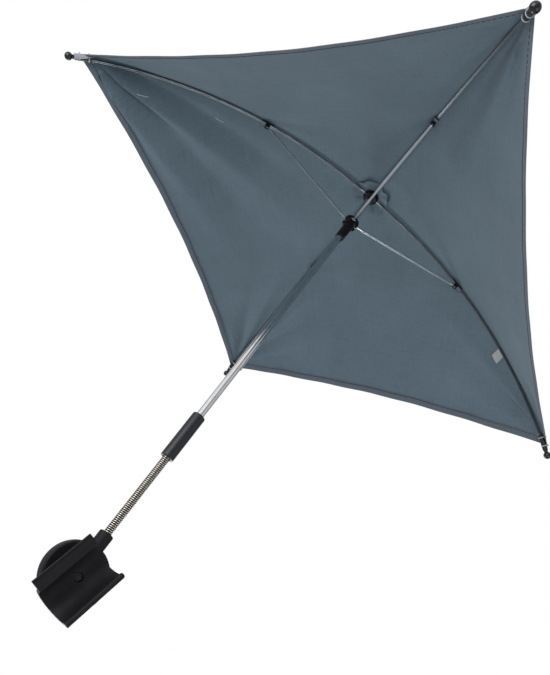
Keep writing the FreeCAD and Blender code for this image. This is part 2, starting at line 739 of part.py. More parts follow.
def stretcher():
    """Straight sheet-steel channel with a flat eye at each end."""
    along = (joint_point - runner_point).normalize()
    up = along.cross(Y)
    start = runner_point + along * stretcher_inner_tab
    end = joint_point - along * stretcher_outer_tab
    outline = channel_outline(stretcher_width, stretcher_height, rib_wall)
    corners = [start + Y * side + up * height for side, height in outline]
    channel = Part.Face(Part.makePolygon(corners + [corners[0]])).extrude(end - start)
    tab_high = stretcher_height / 2 - rib_wall
    inner = strap(runner_point, start + along * rib_tab_overlap, tab_high, tab_half)
    outer = strap(end - along * rib_tab_overlap, joint_point, tab_high, tab_half)
    flare = stretcher_width / 2 - rib_wall
    roots = [
        strap(start, start + along * rib_tab_overlap, tab_high, flare),
        strap(end - along * rib_tab_overlap, end, tab_high, flare),
    ]
    eyes = [eye(runner_point, eye_r, tab_half), eye(joint_point, eye_r, tab_half)]
    holes = [
        eye(runner_point, hinge_pin_r, rib_width),
        eye(joint_point, hinge_pin_r + running_gap, rib_width),
    ]
    return channel.fuse([inner, outer] + roots + eyes).cut(holes).removeSplitter()


def stretcher_pin():
    """Pin fixed in the stretcher's inner eye, whose ends rest in the runner's bearings."""
    return eye(runner_point, hinge_pin_r, hinge_pin_half)


# The fabric makes a roof over each rib, so over a round and straight tip cap it is lifted by more than
# the cap's radius
tip_slope = -rib_along(rib_sweep).z / rib_along(rib_sweep).x
tip_side_slope = tip_slope + 4 * canopy_hem_drop * rib_reach / canopy_mid_reach ** 2
cap_over_rib = tip_cap_length ** 2 / (2 * rib_radius)
canopy_tip_lift = (tip_cap_r + cap_over_rib + seat_gap) * math.sqrt(1 + tip_slope ** 2 + tip_side_slope ** 2)


def canopy_under_z(reach):
    """Height of the fabric's underside at a rib, rising over the tip caps."""
    share = min(max((reach - canopy_lifted_from) / canopy_tip_rise + 1, 0), 1)
    smooth = share * share * (3 - 2 * share)
    lift = canopy_centre_z + (canopy_tip_lift - canopy_centre_z) * smooth
    return rib_line_z(max(reach, hinge_circle_r)) + lift


diagonal = V(1, 1, 0) * (1 / math.sqrt(2))


def stretched_line(reach, rise):
    """A line of fabric from rib to rib, which hangs lower in the middle of the panel."""
    drop = canopy_hem_drop * (reach / canopy_mid_reach) ** 2
    points = []
    for share in (-1 - canopy_past_rib, -0.5, 0, 0.5, 1 + canopy_past_rib):
        height = canopy_under_z(reach) - drop * (1 - share ** 2) + rise
        points.append(V(reach * (1 + share) / 2, reach * (1 - share) / 2, height))
    line = Part.BSplineCurve()
    line.interpolate(points)
    return line, points[0], points[-1]


def stretched_sheet(low, high):
    """A sheet stretched between two ribs, between two heights over the fabric's underside."""
    sections = []
    for k in range(canopy_profile_points):
        reach = canopy_hole_r / 2 + (rib_reach - canopy_hole_r / 2) * k / (canopy_profile_points - 1)
        under, under_start, under_end = stretched_line(reach, low)
        over, over_start, over_end = stretched_line(reach, high)
        sections.append(Part.Wire([
            under.toShape(), Part.LineSegment(under_end, over_end).toShape(),
            over.toShape(), Part.LineSegment(over_start, under_start).toShape(),
        ]))
    return Part.makeLoft(sections, True)


def canopy():
    """Four fabric panels, each stretched straight between two ribs, sewn into one sheet."""
    hole_arc = Part.Arc(V(canopy_hole_r, 0, 0), diagonal * canopy_hole_r, V(0, canopy_hole_r, 0))
    first_end = V(canopy_corner_half, canopy_corner_r, 0)
    last_end = V(canopy_corner_r, canopy_corner_half, 0)
    hem_arc = Part.Arc(first_end, diagonal * canopy_edge_mid, last_end)
    wedge = Part.Wire([
        hole_arc.toShape(), Part.LineSegment(V(0, canopy_hole_r, 0), V(0, canopy_corner_r, 0)).toShape(),
        Part.LineSegment(V(0, canopy_corner_r, 0), first_end).toShape(), hem_arc.toShape(),
        Part.LineSegment(last_end, V(canopy_corner_r, 0, 0)).toShape(),
        Part.LineSegment(V(canopy_corner_r, 0, 0), V(canopy_hole_r, 0, 0)).toShape(),
    ])
    wedge = Part.Face(wedge)
    wedge.translate(Z * -rib_reach)
    wedge = wedge.extrude(Z * 2 * rib_reach)
    panel = stretched_sheet(0, canopy_thick).common(wedge)
    panels = [at_azimuth(panel, azimuth) for name, azimuth in rib_azimuths()]
    return at_crown(panels[0].fuse(panels[1:]).removeSplitter())


def rosette():
    """Round fabric patch between the crown and the canopy, which follows the canopy's underside."""
    gauge = Part.makeCylinder(rosette_r, 2 * rib_reach, V(0, 0, -rib_reach), Z, 90)
    gauge = gauge.cut(Part.makeCylinder(canopy_hole_r, 2 * rib_reach, V(0, 0, -rib_reach)))
    quarter = stretched_sheet(-seat_gap - rosette_thick, -seat_gap).common(gauge)
    quarters = [at_azimuth(quarter, azimuth) for name, azimuth in rib_azimuths()]
    return at_crown(quarters[0].fuse(quarters[1:]))


def care_label():
    """Bare fabric tag under the panel behind the right rib."""
    gauge = Part.makeBox(
        label_length, label_width, 2 * rib_reach,
        V(label_reach - label_length / 2, rib_width / 2 + seat_gap, -rib_reach),
    )
    return stretched_sheet(-seat_gap - label_thick, -seat_gap).common(gauge)


def save(name, solid):
    """Checks a piece and writes it."""
    if not solid.isValid():
        raise ValueError(name + " is not a valid solid")
    placed = solid.copy()
    placed.translate(frame_shift)
    placed.exportStep("parts/" + name + ".step")
    print(name, len(placed.Solids), round(placed.Volume, 1))


def main():
    """Builds and writes every piece."""
    os.makedirs("parts", exist_ok=True)
    save("clip_shell", clip_shell())
    save("pivot_nut", pivot_nut())
    save("pivot_screw", pivot_screw())
    save("friction_washer", washer(friction_washer_r, friction_washer_thick, disc_front_y - friction_washer_thick))
    save("spring_washer", washer(spring_washer_r, spring_washer_thick, head_seat_y - spring_washer_thick))
    save("swivel_disc", swivel_disc())
    save("disc_cover", disc_cover())
    save("gooseneck_coil", gooseneck_coil())
    save("gooseneck_core", gooseneck_core())
    save("coupling_sleeve", coupling_sleeve())
    save("shaft_tube", shaft_tube())
    save("crown", crown())
    save("crown_pins", crown_pins())
    save("top_cap", top_cap())
    save("rosette", rosette())
    save("canopy", canopy())
    save("runner", runner())
    save("top_catch", catch_blade(top_catch_drop, 1, top_catch_azimuth))
    save("bottom_catch", catch_blade(bottom_catch_drop, -1, bottom_catch_azimuth))
    by_rib = {
        "rib": rib(), "rib_clip": rib_clip(), "rib_rivet": rib_rivet(), "tip_cap": tip_cap(),
        "stretcher": stretcher(), "stretcher_pin": stretcher_pin(),
    }
    for name, azimuth in rib_azimuths():
        for kind, solid in by_rib.items():
            save(kind + "_" + name, at_crown(at_azimuth(solid, azimuth)))
    save("care_label", at_crown(at_azimuth(care_label(), rib_first_azimuth)))
    print("shaft_y", shaft_y, "crown_z", crown_z, "sleeve", sleeve_bottom, sleeve_top)
    print("joint point", joint_point, "stretcher length", stretcher_length)
    print("fold", math.degrees(fold_angle), "stretcher turn", math.degrees(stretcher_turn))
    print("runner travel", runner_travel, "closed drop", closed_drop)


main()
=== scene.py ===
"""Dresses the pram parasol: a sewn canopy, a wound gooseneck, moulded plastic and plated steel."""
import bmesh
import bpy
import json
import math
from mathutils import Matrix, Vector

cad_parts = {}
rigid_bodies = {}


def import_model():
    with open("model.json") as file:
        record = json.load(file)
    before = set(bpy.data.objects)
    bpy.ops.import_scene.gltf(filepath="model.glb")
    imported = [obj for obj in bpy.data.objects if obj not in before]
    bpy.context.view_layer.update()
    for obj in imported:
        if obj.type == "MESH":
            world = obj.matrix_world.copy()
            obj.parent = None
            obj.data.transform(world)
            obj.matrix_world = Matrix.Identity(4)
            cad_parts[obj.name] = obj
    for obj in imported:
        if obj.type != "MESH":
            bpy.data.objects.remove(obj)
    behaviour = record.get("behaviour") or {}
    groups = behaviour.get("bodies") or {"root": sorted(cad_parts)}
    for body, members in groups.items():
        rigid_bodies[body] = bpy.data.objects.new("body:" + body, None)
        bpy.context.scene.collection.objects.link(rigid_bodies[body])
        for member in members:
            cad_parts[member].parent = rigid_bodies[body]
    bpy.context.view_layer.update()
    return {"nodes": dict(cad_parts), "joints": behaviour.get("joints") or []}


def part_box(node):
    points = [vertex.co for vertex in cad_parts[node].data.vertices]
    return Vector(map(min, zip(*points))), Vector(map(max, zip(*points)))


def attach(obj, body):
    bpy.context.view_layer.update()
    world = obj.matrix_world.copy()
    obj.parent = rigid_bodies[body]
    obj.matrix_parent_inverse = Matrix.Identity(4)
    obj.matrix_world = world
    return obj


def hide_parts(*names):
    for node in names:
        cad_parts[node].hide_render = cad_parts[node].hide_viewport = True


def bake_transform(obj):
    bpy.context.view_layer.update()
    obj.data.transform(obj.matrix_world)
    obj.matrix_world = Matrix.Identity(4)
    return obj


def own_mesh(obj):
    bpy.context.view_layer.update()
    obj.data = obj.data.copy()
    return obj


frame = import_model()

bl_info = {
    "name": "Pram Parasol",
    "version": (1, 0, 0),
    "blender": (4, 5, 0),
    "location": "View3D > Sidebar > Parasol",
    "description": "Models the fabric, the winding and the finishes of a pram parasol round its solids",
    "category": "Object",
}

JOINTS = {joint["name"]: joint for joint in frame["joints"]}
NECK_LOW_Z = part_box("swivel_disc")[1].z
NECK_HIGH_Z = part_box("coupling_sleeve")[0].z
CORE_LOW, CORE_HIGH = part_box("gooseneck_core")

# Places on the shaft, read from the joints
SHAFT_X, SHAFT_Y = JOINTS["neck_tilt"]["pos_m"][:2]
CROWN = Vector((SHAFT_X, SHAFT_Y, JOINTS["rib_fold_right"]["pos_m"][2]))

# Angle of each rib round the shaft, in degrees
RIBS = {"right": -18.0, "rear": 72.0, "left": 162.0, "front": 252.0}

# Rib line and fabric, repeated from the solids
HINGE_R = 0.0094
RIB_REACH = 0.440
RIB_DROOP = 0.165
RIB_BOW = 0.045
CANOPY_CENTRE_RISE = 0.0034
CANOPY_CORNER_R = 0.426
CANOPY_CORNER_HALF = 0.0055
CANOPY_EDGE_SAG = 0.0205
CANOPY_EDGE_MID = (CANOPY_CORNER_R + CANOPY_CORNER_HALF) / math.sqrt(2) - CANOPY_EDGE_SAG
CANOPY_MID_REACH = CANOPY_EDGE_MID * math.sqrt(2)
CANOPY_HEM_DROP = 0.017
CANOPY_HOLE_R = 0.0056
TIP_RISE_START = 0.339
TIP_RISE_END = 0.409
TIP_CAP_R = 0.00375
TIP_CAP_LENGTH = 0.031
SEAT_GAP = 0.0003
CLOTH_MIDDLE = 0.0004
ROSETTE_R = 0.028
ROSETTE_BELOW = 0.0006
ROSETTE_HOLE_R = 0.0056

# Label, a little smaller than its solid
LABEL_REACH = 0.303
LABEL_BESIDE = 0.0017
LABEL_WIDTH = 0.012
LABEL_LENGTH = 0.013

# Winding, repeated from the solids
COIL_R = 0.005
COIL_WIRE = 0.0019
COIL_PITCH = 0.0024
COIL_TURNS = 50
COIL_END_BEND = 0.002
COIL_SEAT = 0.009

# Weave, layers and stitches
WEAVE_PITCH = 0.0007
TAPE_PITCH = 0.0005
LABEL_PITCH = 0.0004
TAPE_THICKNESS = 0.0005
THIN_LAYER = 0.0004
STITCH_R = 0.00052
STITCH_ROUNDING = 0.00018
STITCH_SHARE = 0.9
HALF_HEM = 0.30

# How the fabric hangs: where its folds and its slack begin, and how much of it is slack
FOLD_START = 0.06
SLACK_START = 0.06
SLACK_FULL = 0.5
SLACK_SHARE = 0.15

# How much closer together a half panel's columns lie near its rib
COLUMN_CROWDING = 1.5

# Marks in the metal, by their scale along each axis
EVEN_MARKS = (300.0, 300.0, 300.0)
SHEET_MARKS = (90.0, 90.0, 400.0)
TUBE_MARKS = (1500.0, 1500.0, 8.0)
ROD_MARKS = (60.0, 60.0, 12.0)

# What every colour setting shares
COLOUR = {"subtype": "COLOR", "size": 3, "min": 0, "max": 1}


class PARASOL_PG_cloth(bpy.types.PropertyGroup):
    """Sizes and colours of the sewn fabric."""

    colour: bpy.props.FloatVectorProperty(
        name="Cloth", description="Colour of the weave", default=(0.121, 0.172, 0.209), **COLOUR,
    )
    shade: bpy.props.FloatVectorProperty(
        name="Cloth shade", description="Colour between the threads",
        default=(0.087, 0.127, 0.160), **COLOUR,
    )
    # Near black: partly the thread's own colour, partly painted shadow of the groove the stitches pull into
    # the hem
    thread: bpy.props.FloatVectorProperty(
        name="Thread", description="Colour of the hem's stitches", default=(0.018, 0.024, 0.032), **COLOUR,
    )
    hem: bpy.props.FloatVectorProperty(
        name="Hem", description="Colour of the turned hem", default=(0.114, 0.142, 0.176), **COLOUR,
    )
    tacking: bpy.props.FloatVectorProperty(
        name="Tacking thread", description="Colour of the thread at the tips",
        default=(0.46, 0.48, 0.50), **COLOUR,
    )
    pocket: bpy.props.FloatVectorProperty(
        name="Tip binding", description="Colour of the binding at the corners",
        default=(0.34, 0.36, 0.40), **COLOUR,
    )
    label: bpy.props.FloatVectorProperty(
        name="Label", description="Colour of the bare label", default=(0.42, 0.44, 0.44), **COLOUR,
    )
    label_shade: bpy.props.FloatVectorProperty(
        name="Label shade", description="Colour between the label's threads",
        default=(0.32, 0.34, 0.34), **COLOUR,
    )
    thickness: bpy.props.FloatProperty(
        name="Thickness", description="Thickness of one layer", subtype="DISTANCE", default=0.0005,
    )
    hem_width: bpy.props.FloatProperty(
        name="Hem width", description="Width of the turned hem", subtype="DISTANCE", default=0.0070,
    )
    stitch_inset: bpy.props.FloatProperty(
        name="Stitch inset", description="From the hem's inner edge to its stitches",
        subtype="DISTANCE", default=0.0014,
    )
    stitch_pitch: bpy.props.FloatProperty(
        name="Stitch pitch", description="Distance from stitch to stitch",
        subtype="DISTANCE", default=0.0036,
    )
    tip_fold: bpy.props.FloatProperty(
        name="Tip fold", description="Depth of the folds that fan out from a tip",
        subtype="DISTANCE", default=0.006,
    )


class PARASOL_PG_metal(bpy.types.PropertyGroup):
    """Colours of the metal."""

    chrome: bpy.props.FloatVectorProperty(
        name="Chrome", description="Colour of the shaft", default=(0.68, 0.69, 0.71), **COLOUR,
    )
    nickel: bpy.props.FloatVectorProperty(
        name="Nickel", description="Colour of the winding", default=(0.86, 0.80, 0.72), **COLOUR,
    )
    rib: bpy.props.FloatVectorProperty(
        name="Rib steel", description="Colour of the ribs", default=(0.19, 0.215, 0.24), **COLOUR,
    )
    stretcher: bpy.props.FloatVectorProperty(
        name="Stretcher steel", description="Colour of the stretchers",
        default=(0.43, 0.47, 0.51), **COLOUR,
    )
    saddle: bpy.props.FloatVectorProperty(
        name="Saddle steel", description="Colour of the ribs' saddles",
        default=(0.085, 0.10, 0.115), **COLOUR,
    )
    blackened: bpy.props.FloatVectorProperty(
        name="Blackened steel", description="Colour of the rivets and the pivot",
        default=(0.030, 0.030, 0.034), **COLOUR,
    )
    zinc: bpy.props.FloatVectorProperty(
        name="Zinc", description="Colour of the pins and a washer", default=(0.55, 0.55, 0.56), **COLOUR,
    )
    catch: bpy.props.FloatVectorProperty(
        name="Catch steel", description="Colour of the two catches", default=(0.16, 0.15, 0.13), **COLOUR,
    )
    # Near black: the rod's steel made dark as painted shade inside the winding
    core: bpy.props.FloatVectorProperty(
        name="Core steel", description="Colour of the rod in the winding",
        default=(0.035, 0.030, 0.026), **COLOUR,
    )


class PARASOL_PG_plastic(bpy.types.PropertyGroup):
    """Colours of the mouldings."""

    black: bpy.props.FloatVectorProperty(
        name="Black", description="Colour of the clip, runner and crown",
        default=(0.0055, 0.0055, 0.0080), **COLOUR,
    )
    sleeve: bpy.props.FloatVectorProperty(
        name="Sleeve", description="Colour of the coupling sleeve",
        default=(0.010, 0.011, 0.016), **COLOUR,
    )
    nylon: bpy.props.FloatVectorProperty(
        name="Nylon", description="Colour of the friction washer", default=(0.52, 0.51, 0.47), **COLOUR,
    )


class PARASOL_PG_stage(bpy.types.PropertyGroup):
    """Camera and light."""

    lens: bpy.props.FloatProperty(
        name="Lens", description="Focal length", subtype="DISTANCE_CAMERA", default=36.03,
    )
    shift_x: bpy.props.FloatProperty(
        name="Shift right", description="Sideways shift of the frame", default=0.003,
    )
    shift_y: bpy.props.FloatProperty(
        name="Shift up", description="Upward shift of the frame", default=0.0985,
    )
    world: bpy.props.FloatProperty(
        name="World", description="Strength of the soft light from all round", default=0.32,
    )
    floor_z: bpy.props.FloatProperty(
        name="Floor", description="Height of the floor", subtype="DISTANCE", default=-0.85,
    )


class Amount:
    """A number in a material's nodes, so that shader maths reads as an expression."""

    def __init__(self, tree, socket):
        self.tree = tree
        self.socket = socket

    def sum_with(self, operation, first, second=0.0):
        """One Math node."""
        node = self.tree.nodes.new("ShaderNodeMath")
        node.operation = operation
        for place, value in zip(node.inputs, (first, second)):
            if isinstance(value, Amount):
                self.tree.links.new(value.socket, place)
            else:
                place.default_value = value
        return Amount(self.tree, node.outputs[0])

    def __add__(self, other):
        return self.sum_with("ADD", self, other)

    def __radd__(self, other):
        return self.sum_with("ADD", other, self)

    def __sub__(self, other):
        return self.sum_with("SUBTRACT", self, other)

    def __rsub__(self, other):
        return self.sum_with("SUBTRACT", other, self)

    def __mul__(self, other):
        return self.sum_with("MULTIPLY", self, other)

    def __rmul__(self, other):
        return self.sum_with("MULTIPLY", other, self)


class Nodes:
    """A node tree that is being put together."""

    def __init__(self, tree):
        self.tree = tree

    def node(self, kind, settings=None, inputs=None, output=0):
        """Adds a node: its settings first, then the values or links of its sockets."""
        node = self.tree.nodes.new("ShaderNode" + kind)
        for name, value in (settings or {}).items():
            if name == "stops":
                self.set_stops(node.color_ramp, value)
            else:
                setattr(node, name, value)
        for name, value in (inputs or {}).items():
            self.feed(node.inputs[name], value)
        return Amount(self.tree, node.outputs[output])

    def feed(self, place, value):
        """Gives a socket a link or a plain value."""
        if isinstance(value, Amount):
            self.tree.links.new(value.socket, place)
        else:
            place.default_value = value

    def set_stops(self, ramp, stops):
        """Sets a ramp's places and grey levels."""
        while len(ramp.elements) < len(stops):
            ramp.elements.new(0.5)
        for element, (place, level) in zip(ramp.elements, stops):
            element.position = place
            element.color = (level, level, level, 1.0)


class Finish(Nodes):
    """A material that is being put together round one Principled shader."""

    # A Mix node's sockets for colours, by number, because their names repeat
    mix_share, mix_first, mix_second, mix_colour = 0, 6, 7, 2

    def __init__(self, name):
        self.material = bpy.data.materials.new(name)
        self.material.use_nodes = True
        super().__init__(self.material.node_tree)
        self.tree.nodes.clear()
        self.shader = self.tree.nodes.new("ShaderNodeBsdfPrincipled")
        output = self.tree.nodes.new("ShaderNodeOutputMaterial")
        self.tree.links.new(self.shader.outputs[0], output.inputs[0])

    def place(self, uv=False):
        """Where a point is: on the piece, or on its cloth."""
        return self.node("TexCoord", output="UV" if uv else "Object")

    def stretched(self, place, scale):
        """The same places, drawn out along the axes."""
        return self.node("Mapping", inputs={"Vector": place, "Scale": scale})

    def noise(self, place, scale, detail=3.0, roughness=0.55):
        """Soft noise from 0 to 1."""
        return self.node(
            "TexNoise", inputs={"Vector": place, "Scale": scale, "Detail": detail, "Roughness": roughness}
        )

    def bands(self, place, scale, axis):
        """Even threads along one axis."""
        settings = {"wave_type": "BANDS", "bands_direction": axis, "wave_profile": "SIN"}
        return self.node("TexWave", settings, {"Vector": place, "Scale": scale, "Distortion": 0.0})

    def between(self, share, first, second):
        """A colour between two."""
        sockets = {self.mix_share: share, self.mix_first: first, self.mix_second: second}
        return self.node("Mix", {"data_type": "RGBA"}, sockets, output=self.mix_colour)

    def spread(self, value, low, high):
        """A value from low to high, brought to 0 to 1."""
        limits = {"From Min": low, "From Max": high, "To Min": 0.0, "To Max": 1.0}
        return self.node("MapRange", {"clamp": True}, {"Value": value, **limits})

    def raised(self, height, distance, strength=1.0):
        """Small relief on the surface."""
        self.feed(
            self.shader.inputs["Normal"],
            self.node("Bump", inputs={"Height": height, "Distance": distance, "Strength": strength}),
        )

    def surface(self, **values):
        """Sets the shader's sockets, with underscores for spaces."""
        for name, value in values.items():
            self.feed(self.shader.inputs[name.replace("_", " ")], value)
        return self.material


def opaque(colour):
    """A colour with full alpha."""
    return (*colour, 1.0)


def scaled(colour, share):
    """A darker or lighter colour."""
    return tuple(min(1.0, c * share) for c in colour) + (1.0,)


def moulded_plastic(name, colour, roughness=0.55, specular=0.3):
    """Moulded plastic with a fine grain and faint rubbed patches."""
    finish = Finish(name)
    place = finish.place()
    grain = finish.noise(place, 1500.0, 2.0)
    rubbed = finish.spread(finish.noise(place, 38.0, 5.0, 0.65), 0.48, 0.72)
    finish.raised(grain, 0.00006, 0.5)
    return finish.surface(
        Base_Color=finish.between(rubbed * 0.6 + grain * 0.2, opaque(colour), scaled(colour, 1.7)),
        Roughness=roughness - rubbed * 0.10 + grain * 0.08,
        Specular_IOR_Level=specular,
    )


def drawn_metal(name, colour, roughness, along):
    """Plated metal with fine marks along the piece and dull patches."""
    finish = Finish(name)
    place = finish.place()
    marks = finish.noise(finish.stretched(place, along), 1.0, 3.0)
    dull = finish.spread(finish.noise(place, 70.0, 4.0, 0.6), 0.45, 0.75)
    finish.raised(marks, 0.00002, 0.25)
    return finish.surface(
        Base_Color=finish.between(dull * 0.5, opaque(colour), scaled(colour, 0.78)),
        Roughness=roughness + dull * 0.10 + marks * 0.06,
        Metallic=1.0,
    )


def wound_metal(name, colour, gap_shade):
    """Plated wire in its own colour on its crests, darkened towards black between the turns as painted
    shade, and rougher there, by the winding's own map.
    """
    finish = Finish(name)
    crest = finish.node("SeparateXYZ", inputs={"Vector": finish.place(uv=True)}, output="Y")
    # Painted shade: the wire's colour falls to near black away from its crest, between the turns
    unshaded_crest = finish.spread(crest, 0.84, 0.985)
    marks = finish.noise(finish.place(), 900.0, 3.0)
    finish.raised(marks, 0.00002, 0.3)
    return finish.surface(
        Base_Color=finish.between(unshaded_crest, opaque(gap_shade), opaque(colour)),
        Roughness=0.42 - unshaded_crest * 0.24 + marks * 0.08,
        Metallic=1.0,
    )


def woven_cloth(name, colour, shade, pitch):
    """Plain weave with slubs, soft blotches and a light sheen, on the cloth's own flat map."""
    finish = Finish(name)
    flat = finish.place(uv=True)
    threads = 2 * math.pi / pitch / 20
    warp = finish.bands(flat, threads, "X")
    weft = finish.bands(flat, threads, "Y")
    weave = warp * 0.5 + weft * 0.5
    slub_weft = finish.noise(finish.stretched(flat, (900.0, 26.0, 1.0)), 1.0, 2.0)
    slub_warp = finish.noise(finish.stretched(flat, (26.0, 900.0, 1.0)), 1.0, 2.0)
    blotch = finish.noise(flat, 9.0, 4.0, 0.6)
    mottle = finish.noise(flat, 240.0, 5.0, 0.7)
    tone = weave * 0.25 + slub_weft * 0.25 + slub_warp * 0.25 + blotch * 0.3 + mottle * 0.3
    finish.raised(weave * 0.7 + slub_weft * 0.3, 0.00012, 0.6)
    return finish.surface(
        Base_Color=finish.between(finish.spread(tone, 0.51, 0.84), opaque(shade), scaled(colour, 1.12)),
        Roughness=0.78 + weave * 0.10,
        Sheen_Weight=0.12,
        Sheen_Roughness=0.4,
        Specular_IOR_Level=0.3,
    )


def spun_thread(name, colour):
    """Twisted sewing thread."""
    finish = Finish(name)
    twist = finish.noise(finish.place(), 2600.0, 2.0)
    finish.raised(twist, 0.00008, 0.6)
    return finish.surface(
        Base_Color=finish.between(twist, scaled(colour, 0.7), scaled(colour, 1.25)), Roughness=0.8,
    )


def deselect():
    """Leaves nothing selected."""
    for thing in bpy.context.selected_objects:
        thing.select_set(False)


def chosen(piece):
    """Makes one piece the only selected and active one."""
    deselect()
    piece.select_set(True)
    bpy.context.view_layer.objects.active = piece
    return piece


def settled(piece):
    """Puts a piece's place, turn and size into its mesh."""
    chosen(piece)
    bpy.ops.object.transform_apply(location=True, rotation=True, scale=True)
    return piece


def applied(piece, kind, **settings):
    """Adds a modifier with its settings and applies it."""
    chosen(piece)
    modifier = piece.modifiers.new(kind.title(), kind)
    for name, value in settings.items():
        setattr(modifier, name, value)
    bpy.ops.object.modifier_apply(modifier=modifier.name)
    return piece


def smooth(piece, degrees=40.0):
    """Smooth shading up to an angle."""
    chosen(piece)
    bpy.ops.object.shade_smooth_by_angle(angle=math.radians(degrees))
    return piece


def turned_outwards(piece):
    """Merges doubles and turns the faces outwards."""
    chosen(piece)
    bpy.ops.object.mode_set(mode="EDIT")
    bpy.ops.mesh.select_all(action="SELECT")
    bpy.ops.mesh.remove_doubles(threshold=1e-6)
    bpy.ops.mesh.normals_make_consistent(inside=False)
    bpy.ops.object.mode_set(mode="OBJECT")
    return piece


def placed(name, data):
    """Adds an object to the scene."""
    thing = bpy.data.objects.new(name, data)
    bpy.context.collection.objects.link(thing)
    return thing


def share_of(ends, share):
    """A value part of the way from one end to the other."""
    return ends[0] + (ends[1] - ends[0]) * share


def cloth_layer(name, rows, columns, shape, flat, thickness, upwards=True, degrees=40.0):
    """A layer of cloth: shape gives each (row, column) share its place, and flat its place uncut."""
    deselect()
    bpy.ops.mesh.primitive_grid_add(x_subdivisions=rows, y_subdivisions=columns, size=1, calc_uvs=True)
    piece = bpy.context.object
    piece.name = name
    mesh = piece.data
    mesh.name = name
    shares = [(v.co.x + 0.5, v.co.y + 0.5) for v in mesh.vertices]
    for vertex, (row, column) in zip(mesh.vertices, shares):
        vertex.co = shape(row, column)
    uv = mesh.uv_layers.active
    for loop in mesh.loops:
        uv.data[loop.index].uv = flat(*shares[loop.vertex_index])
    mesh.update()
    lift = sum(p.normal.z * p.area for p in mesh.polygons)
    if (lift > 0) != upwards:
        mesh.flip_normals()
    applied(piece, "SOLIDIFY", thickness=thickness, offset=0.0)
    return smooth(piece, degrees)


def scattered(name, source, places):
    """Copies of one small mesh at many places, as one piece."""
    gathered = bmesh.new()
    for place in places:
        copy = source.copy()
        copy.transform(place)
        gathered.from_mesh(copy)
        bpy.data.meshes.remove(copy)
    mesh = bpy.data.meshes.new(name)
    gathered.to_mesh(mesh)
    gathered.free()
    return placed(name, mesh)


def stitched(name, lines, length):
    """Machine stitches along lines of cloth, each a function from a share of its length to a point."""
    pitch = bpy.context.scene.parasol_cloth.stitch_pitch
    deselect()
    bpy.ops.mesh.primitive_cylinder_add(vertices=6, radius=STITCH_R, depth=pitch * STITCH_SHARE)
    pattern = bpy.context.object
    bpy.ops.object.mode_set(mode="EDIT")
    bpy.ops.mesh.select_all(action="SELECT")
    bpy.ops.mesh.bevel(offset=STITCH_ROUNDING, segments=1)
    bpy.ops.object.mode_set(mode="OBJECT")
    count = round(length / pitch)
    places = []
    for line in lines:
        for k in range(count):
            here = line((k + 0.5) / count)
            there = line((k + 0.6) / count)
            turn = (there - here).to_track_quat("Z", "Y").to_matrix().to_4x4()
            places.append(Matrix.Translation(here) @ turn)
    piece = scattered(name, pattern.data, places)
    bpy.data.objects.remove(pattern)
    return smooth(piece, 60.0)


def wire_tube(name, points, radius, sides=2):
    """A round wire along a smooth line through control points."""
    curve = bpy.data.curves.new(name, "CURVE")
    curve.dimensions = "3D"
    curve.bevel_depth = radius
    curve.bevel_resolution = sides
    curve.resolution_u = 2
    curve.use_fill_caps = True
    spline = curve.splines.new("NURBS")
    spline.points.add(len(points) - 1)
    for point, place in zip(spline.points, points):
        point.co = (*place, 1.0)
    spline.order_u = 3
    spline.use_endpoint_u = True
    chosen(placed(name, curve))
    bpy.ops.object.convert(target="MESH")
    return turned_outwards(bpy.context.object)


def joined(name, pieces):
    """Several meshes made one piece."""
    deselect()
    for piece in pieces:
        piece.select_set(True)
    bpy.context.view_layer.objects.active = pieces[0]
    bpy.ops.object.join()
    whole = bpy.context.object
    whole.name = whole.data.name = name
    return whole


def finished(piece, material):
    """Gives a piece its one material."""
    piece.data.materials.clear()
    piece.data.materials.append(material)
    return piece


# The rib's arc and the fabric's lift at the tips
CHORD = Vector((RIB_REACH - HINGE_R, 0, -RIB_DROOP))
CHORD_ANGLE = math.atan2(RIB_DROOP, RIB_REACH - HINGE_R)
RIB_RADIUS = (CHORD.length ** 2 / 4 + RIB_BOW ** 2) / (2 * RIB_BOW)
CHORD_UP = Vector((math.sin(CHORD_ANGLE), 0, math.cos(CHORD_ANGLE)))
RIB_CENTRE = Vector((HINGE_R, 0, 0)) + CHORD / 2 - CHORD_UP * (RIB_RADIUS - RIB_BOW)
TIP_SLOPE = (RIB_REACH - RIB_CENTRE.x) / math.sqrt(RIB_RADIUS ** 2 - (RIB_REACH - RIB_CENTRE.x) ** 2)
TIP_SIDE_SLOPE = TIP_SLOPE + 4 * CANOPY_HEM_DROP * RIB_REACH / CANOPY_MID_REACH ** 2
TIP_LIFT = (TIP_CAP_R + TIP_CAP_LENGTH ** 2 / (2 * RIB_RADIUS) + SEAT_GAP) * math.sqrt(
    1 + TIP_SLOPE ** 2 + TIP_SIDE_SLOPE ** 2
)

# Sag of the hem that is drawn tighter than the others, by the rib that its panel starts from
HEM_SAGS = {"right": 0.0165}

